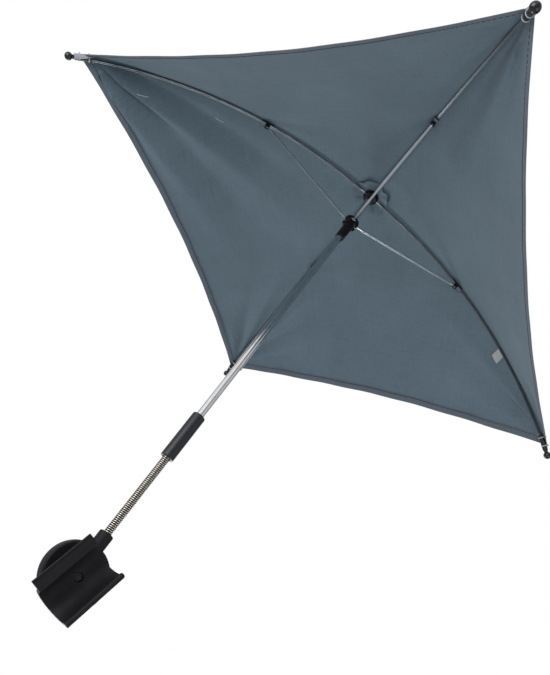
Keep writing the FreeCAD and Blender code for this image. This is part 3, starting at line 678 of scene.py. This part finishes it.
# Folds that fan out from a tip into one of its panels: angle from the rib, width, weight and length
FOLDS = {
    ("left", -1): (
        (0.19, 0.050, 1.5, 0.26), (0.33, 0.050, -2.2, 0.24),
        (0.46, 0.045, 2.2, 0.24), (0.59, 0.050, -2.0, 0.26),
    ),
    ("left", 1): ((0.22, 0.070, -0.5, 0.16), (0.45, 0.090, 0.4, 0.16)),
    ("front", -1): ((0.14, 0.050, -0.7, 0.20), (0.32, 0.070, 0.5, 0.17)),
    ("front", 1): ((0.14, 0.050, 0.6, 0.22), (0.27, 0.060, -1.0, 0.24), (0.42, 0.070, 0.7, 0.18)),
    ("right", -1): ((0.18, 0.060, -0.6, 0.18), (0.40, 0.080, 0.4, 0.16)),
    ("right", 1): ((0.20, 0.055, -0.9, 0.20), (0.34, 0.060, 0.8, 0.17), (0.50, 0.070, -0.5, 0.15)),
    ("rear", -1): ((0.15, 0.050, -0.8, 0.18), (0.30, 0.050, 0.7, 0.16), (0.45, 0.060, -0.6, 0.15)),
    ("rear", 1): ((0.18, 0.060, -0.8, 0.18), (0.36, 0.060, 0.7, 0.16), (0.54, 0.070, -0.5, 0.15)),
}

# Bands of a half panel: where each ends along the rib, and the share of its width kept when closed
BANDS = (
    (0.022, 1.0), (0.038, 0.96), (0.056, 0.75), (0.076, 0.61), (0.100, 0.51), (0.128, 0.42), (0.160, 0.34),
    (0.200, 0.26), (0.245, 0.17), (0.300, 0.09), (None, 0.05),
)


def rib_height(reach):
    """Height of a rib's centre line at a distance from the shaft."""
    return RIB_CENTRE.z + math.sqrt(RIB_RADIUS ** 2 - (reach - RIB_CENTRE.x) ** 2)


def ease(share):
    """Smooth step from 0 to 1."""
    share = min(max(share, 0.0), 1.0)
    return share * share * (3 - 2 * share)


def cloth_height(along, beside):
    """Height of the fabric's underside: over the ribs, up over the tip caps, and sagging between them."""
    reach = along + beside
    lift = ease((reach - TIP_RISE_START) / (TIP_RISE_END - TIP_RISE_START))
    sag = 0.0
    if reach > 0:
        sag = CANOPY_HEM_DROP * (reach / CANOPY_MID_REACH) ** 2 * (1 - ((along - beside) / reach) ** 2)
    stretched = rib_height(max(reach, HINGE_R)) + CANOPY_CENTRE_RISE
    return stretched + (TIP_LIFT - CANOPY_CENTRE_RISE) * lift - sag


def panel_start(name, side):
    """The rib that the panel on one side of a rib starts from."""
    names = list(RIBS)
    return name if side > 0 else names[names.index(name) - 1]


def panel_end(name, side):
    """The other rib of the panel on one side of a rib."""
    names = list(RIBS)
    return names[(names.index(name) + side) % len(names)]


def hem_arc(sag):
    """The hem's arc, by its centre's distance from the shaft and its radius."""
    middle = (CANOPY_CORNER_R + CANOPY_CORNER_HALF) / math.sqrt(2) - sag
    centre = (CANOPY_CORNER_R ** 2 + CANOPY_CORNER_HALF ** 2 - middle ** 2) / (
        math.sqrt(2) * (CANOPY_CORNER_R + CANOPY_CORNER_HALF) - 2 * middle
    )
    return centre, centre - middle


def hem_reach(name, side, angle):
    """Distance from the shaft to the hem, at an angle from a rib."""
    if math.tan(angle) < CANOPY_CORNER_HALF / CANOPY_CORNER_R:
        return CANOPY_CORNER_R / math.cos(angle)
    centre, radius = hem_arc(HEM_SAGS.get(panel_start(name, side), CANOPY_EDGE_SAG))
    lean = math.pi / 4 - angle
    return centre * math.cos(lean) - math.sqrt(radius ** 2 - (centre * math.sin(lean)) ** 2)


def tip_folds(name, side, along, beside):
    """Folds that fan out from one tip, each with its own angle, width, weight and length."""
    away = CANOPY_CORNER_R - along
    distance = math.hypot(away, beside)
    angle = math.atan2(beside, away)
    fan = 0.0
    for place, width, weight, length in FOLDS[name, side]:
        fan += weight * math.exp(-(((angle - place) / width) ** 2) - (distance / length) ** 2)
    return fan * ease(distance / FOLD_START)


def slack(name, side, along, beside):
    """How far the fabric stands off its stretched shape."""
    panel = panel_start(name, side)
    seed = math.radians(RIBS[panel]) * 1.3
    first, second = (along, beside) if side > 0 else (beside, along)
    folds = tip_folds(name, side, along, beside) + tip_folds(panel_end(name, side), -side, beside, along)
    out = (along + beside) / CANOPY_CORNER_R
    across = (first - second) / CANOPY_CORNER_R
    held = ease(min(along, beside) / SLACK_START)
    soft = math.sin(9.0 * out + seed) * math.cos(5.0 * across + 2 * seed)
    soft += 0.5 * math.sin(21.0 * across + 8 * out)
    depth = bpy.context.scene.parasol_cloth.tip_fold
    return depth * (folds + SLACK_SHARE * held * soft * ease(out / SLACK_FULL))


def by_rib(name, point):
    """A point in a rib's own axes, brought to that rib."""
    return CROWN + Matrix.Rotation(math.radians(RIBS[name]), 3, "Z") @ point


def on_panel(name, side, along, beside, rise):
    """A point of the fabric beside a rib: along it, beside it, and risen over the underside."""
    height = cloth_height(along, beside) + rise + slack(name, side, along, beside)
    return by_rib(name, Vector((along, side * beside, height)))


def on_flat(along, beside):
    """The same point on the uncut cloth, whose weft runs along the hem."""
    reach = along + beside
    profile = RIB_RADIUS * math.asin((max(reach, HINGE_R) - RIB_CENTRE.x) / RIB_RADIUS) / math.sqrt(2)
    return (profile, (along - beside) / math.sqrt(2))


def on_seam(name, along, offset, rise):
    """A point of the fabric along a rib, a little to either side of it."""
    return on_panel(name, 1 if offset >= 0 else -1, along, abs(offset), rise)


def at_tip(name, behind, round_angle, radius, rise=0.0):
    """A point round a tip cap's axis: behind the ball's middle, and turned from straight below."""
    slope = math.atan(TIP_SLOPE)
    along = Vector((math.cos(slope), 0, -math.sin(slope)))
    above = Vector((math.sin(slope), 0, math.cos(slope)))
    middle = Vector((RIB_REACH, 0, rib_height(RIB_REACH))) - along * behind
    upwards = above * (rise - radius * math.cos(round_angle))
    sideways = Vector((0, radius * math.sin(round_angle), 0))
    return by_rib(name, middle + upwards + sideways)


def polar(name, side, share, angle, start, end):
    """Distances along and beside a rib, for a share of the way across a band of the half panel."""
    slant = math.cos(angle) + math.sin(angle)
    inner = start / slant if start else CANOPY_HOLE_R
    outer = end / slant if end else hem_reach(name, side, angle)
    reach = inner + (outer - inner) * share
    return reach * math.cos(angle), reach * math.sin(angle)


def inside_hem(name, side, angle, inset):
    """Distances along and beside a rib, for a point inside the hem's edge."""
    reach = hem_reach(name, side, angle) - inset / math.cos(math.pi / 4 - angle)
    return reach * math.cos(angle), reach * math.sin(angle)


def rib_angle(column):
    """Angle from a rib for a share of the half panel's columns, which lie closer together near the rib."""
    return math.pi / 4 * column ** COLUMN_CROWDING


def half_panel_names():
    """Every half panel as rib name, side and piece name."""
    return [(name, side, name + ("_after" if side > 0 else "_before")) for name in RIBS for side in (1, -1)]


def folds_with_rib(piece, name):
    """Rides the rib as the parasol closes, on its own copy of the mesh."""
    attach(piece, "rib_" + name)
    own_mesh(piece)


class PARASOL_OT_canopy(bpy.types.Operator):
    """Sews the canopy: half panels, turned hems and stitches."""

    bl_idname = "parasol.canopy"
    bl_label = "Canopy"

    rows = 120
    columns = 64
    hem_share = 0.8
    stitch_rise = -0.0010

    def execute(self, context):
        settings = context.scene.parasol_cloth
        cloth = woven_cloth("canopy_cloth", settings.colour, settings.shade, WEAVE_PITCH)
        turned = woven_cloth("hem_cloth", settings.hem, scaled(settings.hem, 0.74)[:3], WEAVE_PITCH)
        # The dark hem thread is partly painted shadow of the stitch groove
        thread = spun_thread("hem_thread", settings.thread)
        for name, side, label in half_panel_names():
            start = None
            for number, (end, keep) in enumerate(BANDS):
                band = self.band(name, side, "canopy_%s_%d" % (label, number), start, end)
                finished(band, cloth)
                folds_with_rib(band, name)
                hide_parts("canopy")
                start = end
            hem = finished(self.hem(name, side, label), turned)
            stitches = finished(self.stitches(name, side, label), thread)
            for piece in (hem, stitches):
                folds_with_rib(piece, name)
        return {"FINISHED"}

    def band(self, name, side, label, start, end):
        """Fabric from a rib to the middle of the panel, between two distances from the shaft."""
        rows = round(self.rows * ((end or CANOPY_CORNER_R) - (start or 0.0)) / CANOPY_CORNER_R)

        def at(row, column):
            return polar(name, side, row, rib_angle(column), start, end)

        def shape(row, column):
            return on_panel(name, side, *at(row, column), CLOTH_MIDDLE)

        def flat(row, column):
            return on_flat(*at(row, column))

        thickness = bpy.context.scene.parasol_cloth.thickness
        return cloth_layer(label, rows, self.columns, shape, flat, thickness)

    def hem(self, name, side, label):
        """The edge turned under, with a rounded fold."""
        settings = bpy.context.scene.parasol_cloth
        seam = settings.hem_width - settings.stitch_inset
        # Inset from the edge and rise over the underside, from the fold to the hem's inner edge
        profile = [
            (0.0, CLOTH_MIDDLE), (-0.0004, 0.0), (0.0, -0.0006), (0.0012, -0.0011),
            (seam - 0.0012, -0.0011), (seam, -0.0004), (seam + 0.0007, -0.0008),
            (settings.hem_width, -0.0003),
        ]

        def at(row, column):
            inset, rise = profile[round(row * (len(profile) - 1))]
            along, beside = inside_hem(name, side, rib_angle(column), inset)
            return along, beside, rise

        def shape(row, column):
            return on_panel(name, side, *at(row, column))

        def flat(row, column):
            return on_flat(*at(row, column)[:2])

        return cloth_layer(
            "hem_" + label, len(profile) - 1, 2 * self.columns, shape, flat,
            settings.thickness * self.hem_share, upwards=False,
        )

    def stitches(self, name, side, label):
        """Machine stitches along the hem, on both faces of the cloth."""
        settings = bpy.context.scene.parasol_cloth
        inset = settings.hem_width - settings.stitch_inset

        def line(rise):
            return lambda share: on_panel(
                name, side, *inside_hem(name, side, share * math.pi / 4, inset), rise
            )

        faces = (self.stitch_rise, CLOTH_MIDDLE + settings.thickness * 0.5)
        return stitched("stitches_" + label, [line(rise) for rise in faces], HALF_HEM)


class PARASOL_OT_seams(bpy.types.Operator):
    """Sews the panels together along the ribs and ties the corners to the tip caps."""

    bl_idname = "parasol.seams"
    bl_label = "Seams and corners"

    seam_start = 0.034
    seam_end = CANOPY_CORNER_R - 0.0012
    seam_rows = 90
    seam_thread_end = CANOPY_CORNER_R - 0.004
    seam_thread_rise = 0.0012
    seam_thread_offsets = (-0.0019, 0.0019)
    seam_profile = (
        (-0.0036, 0.0005), (-0.0032, 0.0010), (-0.0019, 0.0009), (-0.0008, 0.0012),
        (0.0008, 0.0012), (0.0019, 0.0009), (0.0032, 0.0010), (0.0036, 0.0005),
    )
    pocket_reach = (CANOPY_CORNER_R - 0.011, CANOPY_CORNER_R + 0.0068)
    pocket_half = (0.0064, 0.0044)
    pocket_rise = 0.0012
    pocket_droop = 0.0022
    # Painted light: a pale sheet round one side of the left tip cap, where that corner shows lit
    painted_light_corner_behind = (0.0070, 0.0330)
    painted_light_corner_near = (5, 75)
    painted_light_corner_far = 150
    painted_light_corner_off = (0.0008, 0.0018)
    loops_behind = (0.0140, 0.0147, 0.0268, 0.0275)
    loop_turns = range(-144, 145, 12)
    loop_off = 0.0003
    loop_end_rise = 0.0042
    loop_thread_r = 0.00042
    tacks = ((0.3465, 0.0242), (0.2490, 0.0290))
    tack_span = (0.013, -0.0020)
    tack_points = 7
    tack_rise = -0.0004
    tack_end_rise = 0.0006
    tack_r = 0.00060

    def execute(self, context):
        settings = context.scene.parasol_cloth
        cloth = woven_cloth("seam_cloth", settings.colour, settings.shade, WEAVE_PITCH)
        tape = woven_cloth("binding_tape", settings.pocket, scaled(settings.pocket, 0.75)[:3], TAPE_PITCH)
        dark = spun_thread("seam_thread", settings.thread)
        light = spun_thread("tacking_thread", settings.tacking)
        for name in RIBS:
            pieces = [
                finished(self.seam(name), cloth),
                finished(self.seam_stitches(name), dark),
                finished(self.binding(name), tape),
                finished(self.loops(name), light),
            ]
            # Only the left tip gets the pale sheet, as painted light on that corner
            if name == "left":
                pieces.append(finished(self.painted_light_corner(name), tape))
            for piece in pieces:
                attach(piece, "rib_" + name)
            self.declare(name, "after", pieces)
        tacks = finished(self.bar_tacks(), light)
        folds_with_rib(tacks, "left")
        for name in RIBS:
            self.declare(name, "before", [tacks] if name == "left" else [])
        return {"FINISHED"}

    def declare(self, name, half, sewn):
        """Works out a half panel's widest band, its flat size and area, and the pieces that go with it, and
        keeps none of it.
        """
        label = name + "_" + half
        bands = [bpy.data.objects["canopy_%s_%d" % (label, number)] for number in range(len(BANDS))]
        widest = bands.pop()
        cut = [place.uv for place in widest.data.uv_layers.active.data]
        flat = [max(place[k] for place in cut) - min(place[k] for place in cut) for k in (0, 1)]
        area = sum(p.area for p in widest.data.polygons) / 2
        on_it = [bpy.data.objects[kind + label] for kind in ("hem_", "stitches_")]
        min(area, flat[0] * flat[1])
        bands + on_it + sewn

    def seam(self, name):
        """Felled seam along the top of a rib."""

        def at(row, column):
            offset, rise = self.seam_profile[round(column * (len(self.seam_profile) - 1))]
            return share_of((self.seam_start, self.seam_end), row), offset, rise

        def shape(row, column):
            return on_seam(name, *at(row, column))

        def flat(row, column):
            return at(row, column)[:2]

        columns = len(self.seam_profile) - 1
        return cloth_layer("seam_" + name, self.seam_rows, columns, shape, flat, THIN_LAYER)

    def seam_stitches(self, name):
        """Two rows of stitches along the seam."""
        length = self.seam_thread_end - self.seam_start

        def line(offset):
            return lambda share: on_seam(
                name, self.seam_start + length * share, offset, self.seam_thread_rise
            )

        lines = [line(offset) for offset in self.seam_thread_offsets]
        return stitched("seam_stitches_" + name, lines, length)

    def binding(self, name):
        """Pale pocket over the tip cap, from the hem's corner out to the ball."""

        def at(row, column):
            across = 2 * column - 1
            rise = self.pocket_rise - self.pocket_droop * across ** 2
            return share_of(self.pocket_reach, row), across * share_of(self.pocket_half, row), rise

        def shape(row, column):
            return on_seam(name, *at(row, column))

        def flat(row, column):
            return at(row, column)[:2]

        return cloth_layer("binding_" + name, 12, 14, shape, flat, TAPE_THICKNESS, degrees=60.0)

    def painted_light_corner(self, name):
        """Pale sheet drawn round one side of the tip cap, as painted light on that corner of the pocket."""

        def at(row, column):
            near = math.radians(share_of(self.painted_light_corner_near, row))
            turn = share_of((near, math.radians(self.painted_light_corner_far)), column)
            return share_of(self.painted_light_corner_behind, row), turn, TIP_CAP_R + share_of(self.painted_light_corner_off, row)

        def shape(row, column):
            return at_tip(name, *at(row, column))

        def flat(row, column):
            behind, turn, radius = at(row, column)
            return behind, turn * radius

        return cloth_layer("painted_light_corner_" + name, 14, 16, shape, flat, TAPE_THICKNESS, degrees=60.0)

    def loops(self, name):
        """Loops of thread round the tip cap, with their ends through the fabric."""
        radius = TIP_CAP_R + self.loop_off
        turns = [math.radians(turn) for turn in self.loop_turns]
        strands = []
        for behind in self.loops_behind:
            points = [at_tip(name, behind, turns[0], radius, self.loop_end_rise)]
            points += [at_tip(name, behind, turn, radius) for turn in turns]
            points.append(at_tip(name, behind, turns[-1], radius, self.loop_end_rise))
            strands.append(wire_tube("strand", points, self.loop_thread_r))
        return smooth(joined("tip_thread_" + name, strands), 60.0)

    def bar_tacks(self):
        """Two short tacks in the left panel."""
        tacks = []
        last = self.tack_points - 1
        for along, beside in self.tacks:
            points = []
            for k in range(self.tack_points):
                share = k / last - 0.5
                rise = self.tack_rise if 0 < k < last else self.tack_end_rise
                place = (along + self.tack_span[0] * share, beside + self.tack_span[1] * share)
                points.append(on_panel("left", -1, *place, rise))
            tacks.append(wire_tube("tack", points, self.tack_r))
        return smooth(joined("bar_tacks", tacks), 60.0)


class PARASOL_OT_trimmings(bpy.types.Operator):
    """Adds the fabric patch at the crown and the bare label."""

    bl_idname = "parasol.trimmings"
    bl_label = "Patch and label"

    edge_waves = ((0.06, 5, 0.6), (0.035, 9, 0.0), (0.02, 14, 1.0))
    patch_droop = 0.0066
    patch_held = 0.35
    label_rise = -0.0008
    label_curl = 0.0015
    label_ripple = 0.0004

    def execute(self, context):
        settings = context.scene.parasol_cloth
        cloth = woven_cloth("patch_cloth", scaled(settings.colour, 0.95)[:3], settings.shade, WEAVE_PITCH)
        for name in RIBS:
            patch = finished(self.patch(name), cloth)
            folds_with_rib(patch, name)
            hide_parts("rosette")
        tape = woven_cloth("label_tape", settings.label, settings.label_shade, LABEL_PITCH)
        label = finished(self.label(), tape)
        folds_with_rib(label, "right")
        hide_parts("care_label")
        return {"FINISHED"}

    def patch(self, name):
        """A rib's quarter of the round patch between the ribs and the canopy, with a loose wavy edge."""

        def at(row, column):
            angle = math.radians(RIBS[name]) + (column - 0.5) * math.pi / 2
            wave = 1.0
            for size, count, start in self.edge_waves:
                wave += size * math.sin(count * angle + start)
            return ROSETTE_HOLE_R + (ROSETTE_R * wave - ROSETTE_HOLE_R) * row, angle

        def shape(row, column):
            reach, angle = at(row, column)
            beside = (angle - math.radians(RIBS["right"])) % (math.pi / 2)
            lift = cloth_height(reach * math.cos(beside), reach * math.sin(beside)) - ROSETTE_BELOW
            loose = (0.5 - 0.5 * math.cos(4 * beside)) * (0.75 + 0.25 * math.sin(11 * angle))
            droop = self.patch_droop * ease((row - self.patch_held) / (1 - self.patch_held)) * loose
            return CROWN + Vector((reach * math.cos(angle), reach * math.sin(angle), lift - droop))

        def flat(row, column):
            reach, angle = at(row, column)
            return (reach * math.cos(angle), reach * math.sin(angle))

        return cloth_layer("rosette_patch_" + name, 14, 24, shape, flat, THIN_LAYER)

    def label(self):
        """Bare tape, sewn in at the rib and curling off the panel."""

        def at(row, column):
            return LABEL_REACH + (row - 0.5) * LABEL_LENGTH, LABEL_BESIDE + column * LABEL_WIDTH

        def shape(row, column):
            along, beside = at(row, column)
            curl = self.label_curl * ease(column) + self.label_ripple * math.sin(3 * row)
            return on_panel("right", 1, along, beside, self.label_rise - curl)

        return cloth_layer("label_tape", 10, 10, shape, at, THIN_LAYER, upwards=False)


class PARASOL_OT_gooseneck(bpy.types.Operator):
    """Winds the gooseneck in two halves, each with its half of the rod."""

    bl_idname = "parasol.gooseneck"
    bl_label = "Gooseneck"

    points_per_turn = 20
    rod_rings = 16
    # Share of the nickel's colour left between the turns, as painted shade
    gap_shade_share = 0.035

    def execute(self, context):
        metal = context.scene.parasol_metal
        nickel = wound_metal("wound_nickel", metal.nickel, scaled(metal.nickel, self.gap_shade_share)[:3])
        # The rod's near-black colour is painted shade inside the winding
        steel = drawn_metal("core_steel", metal.core, 0.55, ROD_MARKS)
        low, high = NECK_LOW_Z, NECK_HIGH_Z
        middle = (low + high) / 2
        halves = (
            ("lower", "swivel", "neck", low, middle, False),
            ("upper", "neck", "shaft", middle, high, True),
        )
        for label, first, last, start, end, leaving in halves:
            winding = wire_tube("winding_" + label, self.winding(leaving), COIL_WIRE / 2)
            self.map_crests(winding)
            finished(smooth(winding, 60.0), nickel)
            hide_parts("gooseneck_coil")
            core = finished(self.core(label, middle, leaving), steel)
            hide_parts("gooseneck_core")
            for piece in (winding, core):
                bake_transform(piece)
        return {"FINISHED"}

    def winding(self, leaving):
        """Control points of one half of the wire, with its end turned along the axis."""
        mean = COIL_R - COIL_WIRE / 2
        low = NECK_LOW_Z - COIL_SEAT + COIL_END_BEND + COIL_WIRE
        half = COIL_TURNS // 2
        first = half if leaving else 0
        points = []
        for k in range(half * self.points_per_turn + 1):
            turns = first + k / self.points_per_turn
            angle = 2 * math.pi * turns
            x = SHAFT_X + mean * math.cos(angle)
            y = SHAFT_Y + mean * math.sin(angle)
            points.append(Vector((x, y, low + COIL_PITCH * turns)))
        if leaving:
            end = points[-1] + Vector((0, COIL_END_BEND, 0))
            return points + [end, end + Vector((0, 0, COIL_END_BEND + COIL_WIRE))]
        start = points[0] - Vector((0, COIL_END_BEND, 0))
        return [start - Vector((0, 0, COIL_END_BEND + COIL_WIRE)), start] + points

    def map_crests(self, winding):
        """Maps the wire by its height on the axis and its share of the way from the bore to the crest."""
        bore = COIL_R - COIL_WIRE
        uv = winding.data.uv_layers.active or winding.data.uv_layers.new(name="wire")
        for loop in winding.data.loops:
            point = winding.data.vertices[loop.vertex_index].co
            crest = (math.hypot(point.x - SHAFT_X, point.y - SHAFT_Y) - bore) / COIL_WIRE
            uv.data[loop.index].uv = (point.z, crest)

    def core(self, label, middle, leaving):
        """Half of the rod inside the winding."""
        low, high = (middle, CORE_HIGH.z) if leaving else (CORE_LOW.z, middle)
        radius = (CORE_HIGH.x - CORE_LOW.x) / 2
        bpy.ops.mesh.primitive_cylinder_add(
            vertices=24, radius=radius, depth=high - low, location=(SHAFT_X, SHAFT_Y, (low + high) / 2)
        )
        rod = bpy.context.object
        rod.name = rod.data.name = "neck_rod_" + label
        settled(rod)
        bpy.ops.object.mode_set(mode="EDIT")
        for k in range(1, self.rod_rings):
            bpy.ops.mesh.select_all(action="SELECT")
            ring = low + (high - low) * k / self.rod_rings
            bpy.ops.mesh.bisect(plane_co=(0, 0, ring), plane_no=(0, 0, 1))
        bpy.ops.object.mode_set(mode="OBJECT")
        return smooth(rod)


class PARASOL_OT_finishes(bpy.types.Operator):
    """Gives every solid that stays its moulded or plated finish."""

    bl_idname = "parasol.finishes"
    bl_label = "Finishes"

    def execute(self, context):
        plastic = context.scene.parasol_plastic
        metal = context.scene.parasol_metal
        black = moulded_plastic("moulded_black", plastic.black, 0.58, 0.22)
        sleeve = moulded_plastic("sleeve_black", plastic.sleeve, 0.34, 0.42)
        tip = moulded_plastic("tip_black", plastic.black, 0.22, 0.5)
        dark = drawn_metal("blackened_steel", metal.blackened, 0.42, EVEN_MARKS)
        chrome = drawn_metal("shaft_chrome", metal.chrome, 0.10, TUBE_MARKS)
        rib = drawn_metal("rib_steel", metal.rib, 0.34, SHEET_MARKS)
        saddle = drawn_metal("saddle_steel", metal.saddle, 0.45, EVEN_MARKS)
        bar = drawn_metal("stretcher_steel", metal.stretcher, 0.36, SHEET_MARKS)
        zinc = drawn_metal("fastener_zinc", metal.zinc, 0.32, EVEN_MARKS)
        spring = drawn_metal("catch_steel", metal.catch, 0.38, EVEN_MARKS)
        nylon = moulded_plastic("washer_nylon", plastic.nylon)
        by_node = {
            "coupling_sleeve": sleeve, "shaft_tube": chrome, "crown_pins": zinc, "pivot_nut": dark,
            "pivot_screw": dark, "spring_washer": zinc, "friction_washer": nylon,
            "top_catch": spring, "bottom_catch": spring,
        }
        for name in RIBS:
            by_node["rib_" + name] = rib
            by_node["rib_clip_" + name] = saddle
            by_node["stretcher_" + name] = bar
            by_node["rib_rivet_" + name] = dark
            by_node["tip_cap_" + name] = tip
            by_node["stretcher_pin_" + name] = zinc
        for name, piece in frame["nodes"].items():
            if piece.hide_render:
                continue
            material = by_node.get(name, black)
            for place in piece.material_slots:
                place.material = material
            if not piece.material_slots:
                piece.data.materials.append(material)
        return {"FINISHED"}


class PARASOL_OT_stage(bpy.types.Operator):
    """Sets the floor, the soft light and the camera."""

    bl_idname = "parasol.stage"
    bl_label = "Stage"

    eye = Vector((-0.2514, -0.7169, -0.7850))
    look = Vector((0.3626, 0.8086, 0.4640))
    up = Vector((-0.6886, -0.1033, 0.7180))
    aim_z = 0.45
    sensor = 36.0
    floor_size = 6.0
    floor_tones = ((0.78, 0.78, 0.78, 1.0), (0.84, 0.84, 0.84, 1.0))
    # Name, place, power and size
    lamps = (
        ("key_lamp", (-1.1, -0.5, 0.25), 11.5, 0.9),
        ("fill_lamp", (0.75, -1.05, -0.25), 4.6, 0.9),
        ("back_lamp", (0.7, 1.1, -0.30), 9.5, 0.7),
        ("top_lamp", (0.3, 0.9, 2.0), 10.0, 1.5),
    )
    # Place round the horizon and brightness
    panels = (
        (0.00, 0.22), (0.06, 0.20), (0.12, 0.90), (0.31, 0.90), (0.345, 0.30), (0.385, 0.35), (0.45, 1.0),
        (0.68, 1.0), (0.705, 0.30), (0.745, 0.28), (0.78, 0.62), (0.95, 0.62), (0.99, 0.22),
    )

    def execute(self, context):
        settings = context.scene.parasol_stage
        context.scene.view_settings.view_transform = "Standard"
        self.floor(settings.floor_z)
        self.world(settings.world)
        for lamp in self.lamps:
            self.lamp(*lamp)
        self.camera(settings)
        return {"FINISHED"}

    def floor(self, height):
        """Plain pale floor."""
        deselect()
        bpy.ops.mesh.primitive_plane_add(size=self.floor_size, location=(0, 0, height))
        floor = settled(bpy.context.object)
        floor.name = "floor"
        finish = Finish("pale_floor")
        mottle = finish.noise(finish.place(), 3.0, 3.0)
        tone = finish.between(mottle, *self.floor_tones)
        floor.data.materials.append(finish.surface(Base_Color=tone, Roughness=0.9))

    def world(self, strength):
        """Soft light from all round: white where it is seen, upright panels where it is mirrored."""
        world = bpy.data.worlds.new("studio")
        bpy.context.scene.world = world
        world.use_nodes = True
        studio = Nodes(world.node_tree)
        across = studio.node("SeparateXYZ", inputs={"Vector": studio.node("TexCoord")})
        beside = Amount(studio.tree, across.socket.node.outputs["Y"])
        turn = across.sum_with("ARCTAN2", beside, across) * (0.5 / math.pi)
        turn = turn.sum_with("FRACT", turn + 1.0)
        panels = studio.node("ValToRGB", {"stops": self.panels}, {"Fac": turn})
        paths = studio.node("LightPath").socket.node.outputs
        looked, through, mirrored = [
            Amount(studio.tree, paths["Is %s Ray" % kind]) for kind in ("Camera", "Transmission", "Glossy")
        ]
        seen = looked + through
        level = seen + mirrored * panels + (1.0 - seen - mirrored) * strength
        background = studio.tree.nodes["Background"]
        background.inputs["Color"].default_value = (1, 1, 1, 1)
        studio.feed(background.inputs["Strength"], level)

    def lamp(self, name, place, power, size):
        """Soft square lamp aimed at the middle of the parasol."""
        light = bpy.data.lights.new(name, "AREA")
        light.energy = power
        light.size = size
        lamp = placed(name, light)
        lamp.location = place
        aim = Vector((0.0, SHAFT_Y, self.aim_z)) - Vector(place)
        lamp.rotation_euler = aim.to_track_quat("-Z", "Y").to_euler()

    def camera(self, settings):
        """Camera at the photograph's angle."""
        lens = bpy.data.cameras.new("camera")
        lens.lens = settings.lens
        lens.sensor_width = self.sensor
        lens.sensor_fit = "AUTO"
        lens.shift_x = settings.shift_x
        lens.shift_y = settings.shift_y
        lens.clip_start = 0.01
        camera = placed("camera", lens)
        look = self.look.normalized()
        right = look.cross(self.up).normalized()
        up = right.cross(look)
        turn = Matrix((right, up, -look)).transposed()
        camera.matrix_world = Matrix.Translation(CROWN + self.eye) @ turn.to_4x4()
        bpy.context.scene.camera = camera


class PARASOL_PT_panel(bpy.types.Panel):
    """Lists the parasol's steps in the sidebar."""

    bl_label = "Pram Parasol"
    bl_idname = "PARASOL_PT_panel"
    bl_space_type = "VIEW_3D"
    bl_region_type = "UI"
    bl_category = "Parasol"

    def draw(self, context):
        for group in GROUPS:
            settings = getattr(context.scene, group)
            for name in settings.bl_rna.properties.keys():
                if name not in ("rna_type", "name"):
                    self.layout.prop(settings, name)
        for operator in OPERATORS:
            self.layout.operator(operator.bl_idname)


GROUPS = {
    "parasol_cloth": PARASOL_PG_cloth,
    "parasol_metal": PARASOL_PG_metal,
    "parasol_plastic": PARASOL_PG_plastic,
    "parasol_stage": PARASOL_PG_stage,
}
OPERATORS = (
    PARASOL_OT_canopy,
    PARASOL_OT_seams,
    PARASOL_OT_trimmings,
    PARASOL_OT_gooseneck,
    PARASOL_OT_finishes,
    PARASOL_OT_stage,
)


def register():
    """Registers the settings, the operators and the panel."""
    for name, group in GROUPS.items():
        bpy.utils.register_class(group)
        setattr(bpy.types.Scene, name, bpy.props.PointerProperty(type=group))
    for operator in OPERATORS:
        bpy.utils.register_class(operator)
    bpy.utils.register_class(PARASOL_PT_panel)


def unregister():
    """Takes them away again."""
    bpy.utils.unregister_class(PARASOL_PT_panel)
    for operator in reversed(OPERATORS):
        bpy.utils.unregister_class(operator)
    for name, group in reversed(GROUPS.items()):
        delattr(bpy.types.Scene, name)
        bpy.utils.unregister_class(group)


def main():
    """Runs every step."""
    register()
    bpy.ops.parasol.canopy()
    bpy.ops.parasol.seams()
    bpy.ops.parasol.trimmings()
    bpy.ops.parasol.gooseneck()
    bpy.ops.parasol.finishes()
    bpy.ops.parasol.stage()


if __name__ == "__main__":
    main()
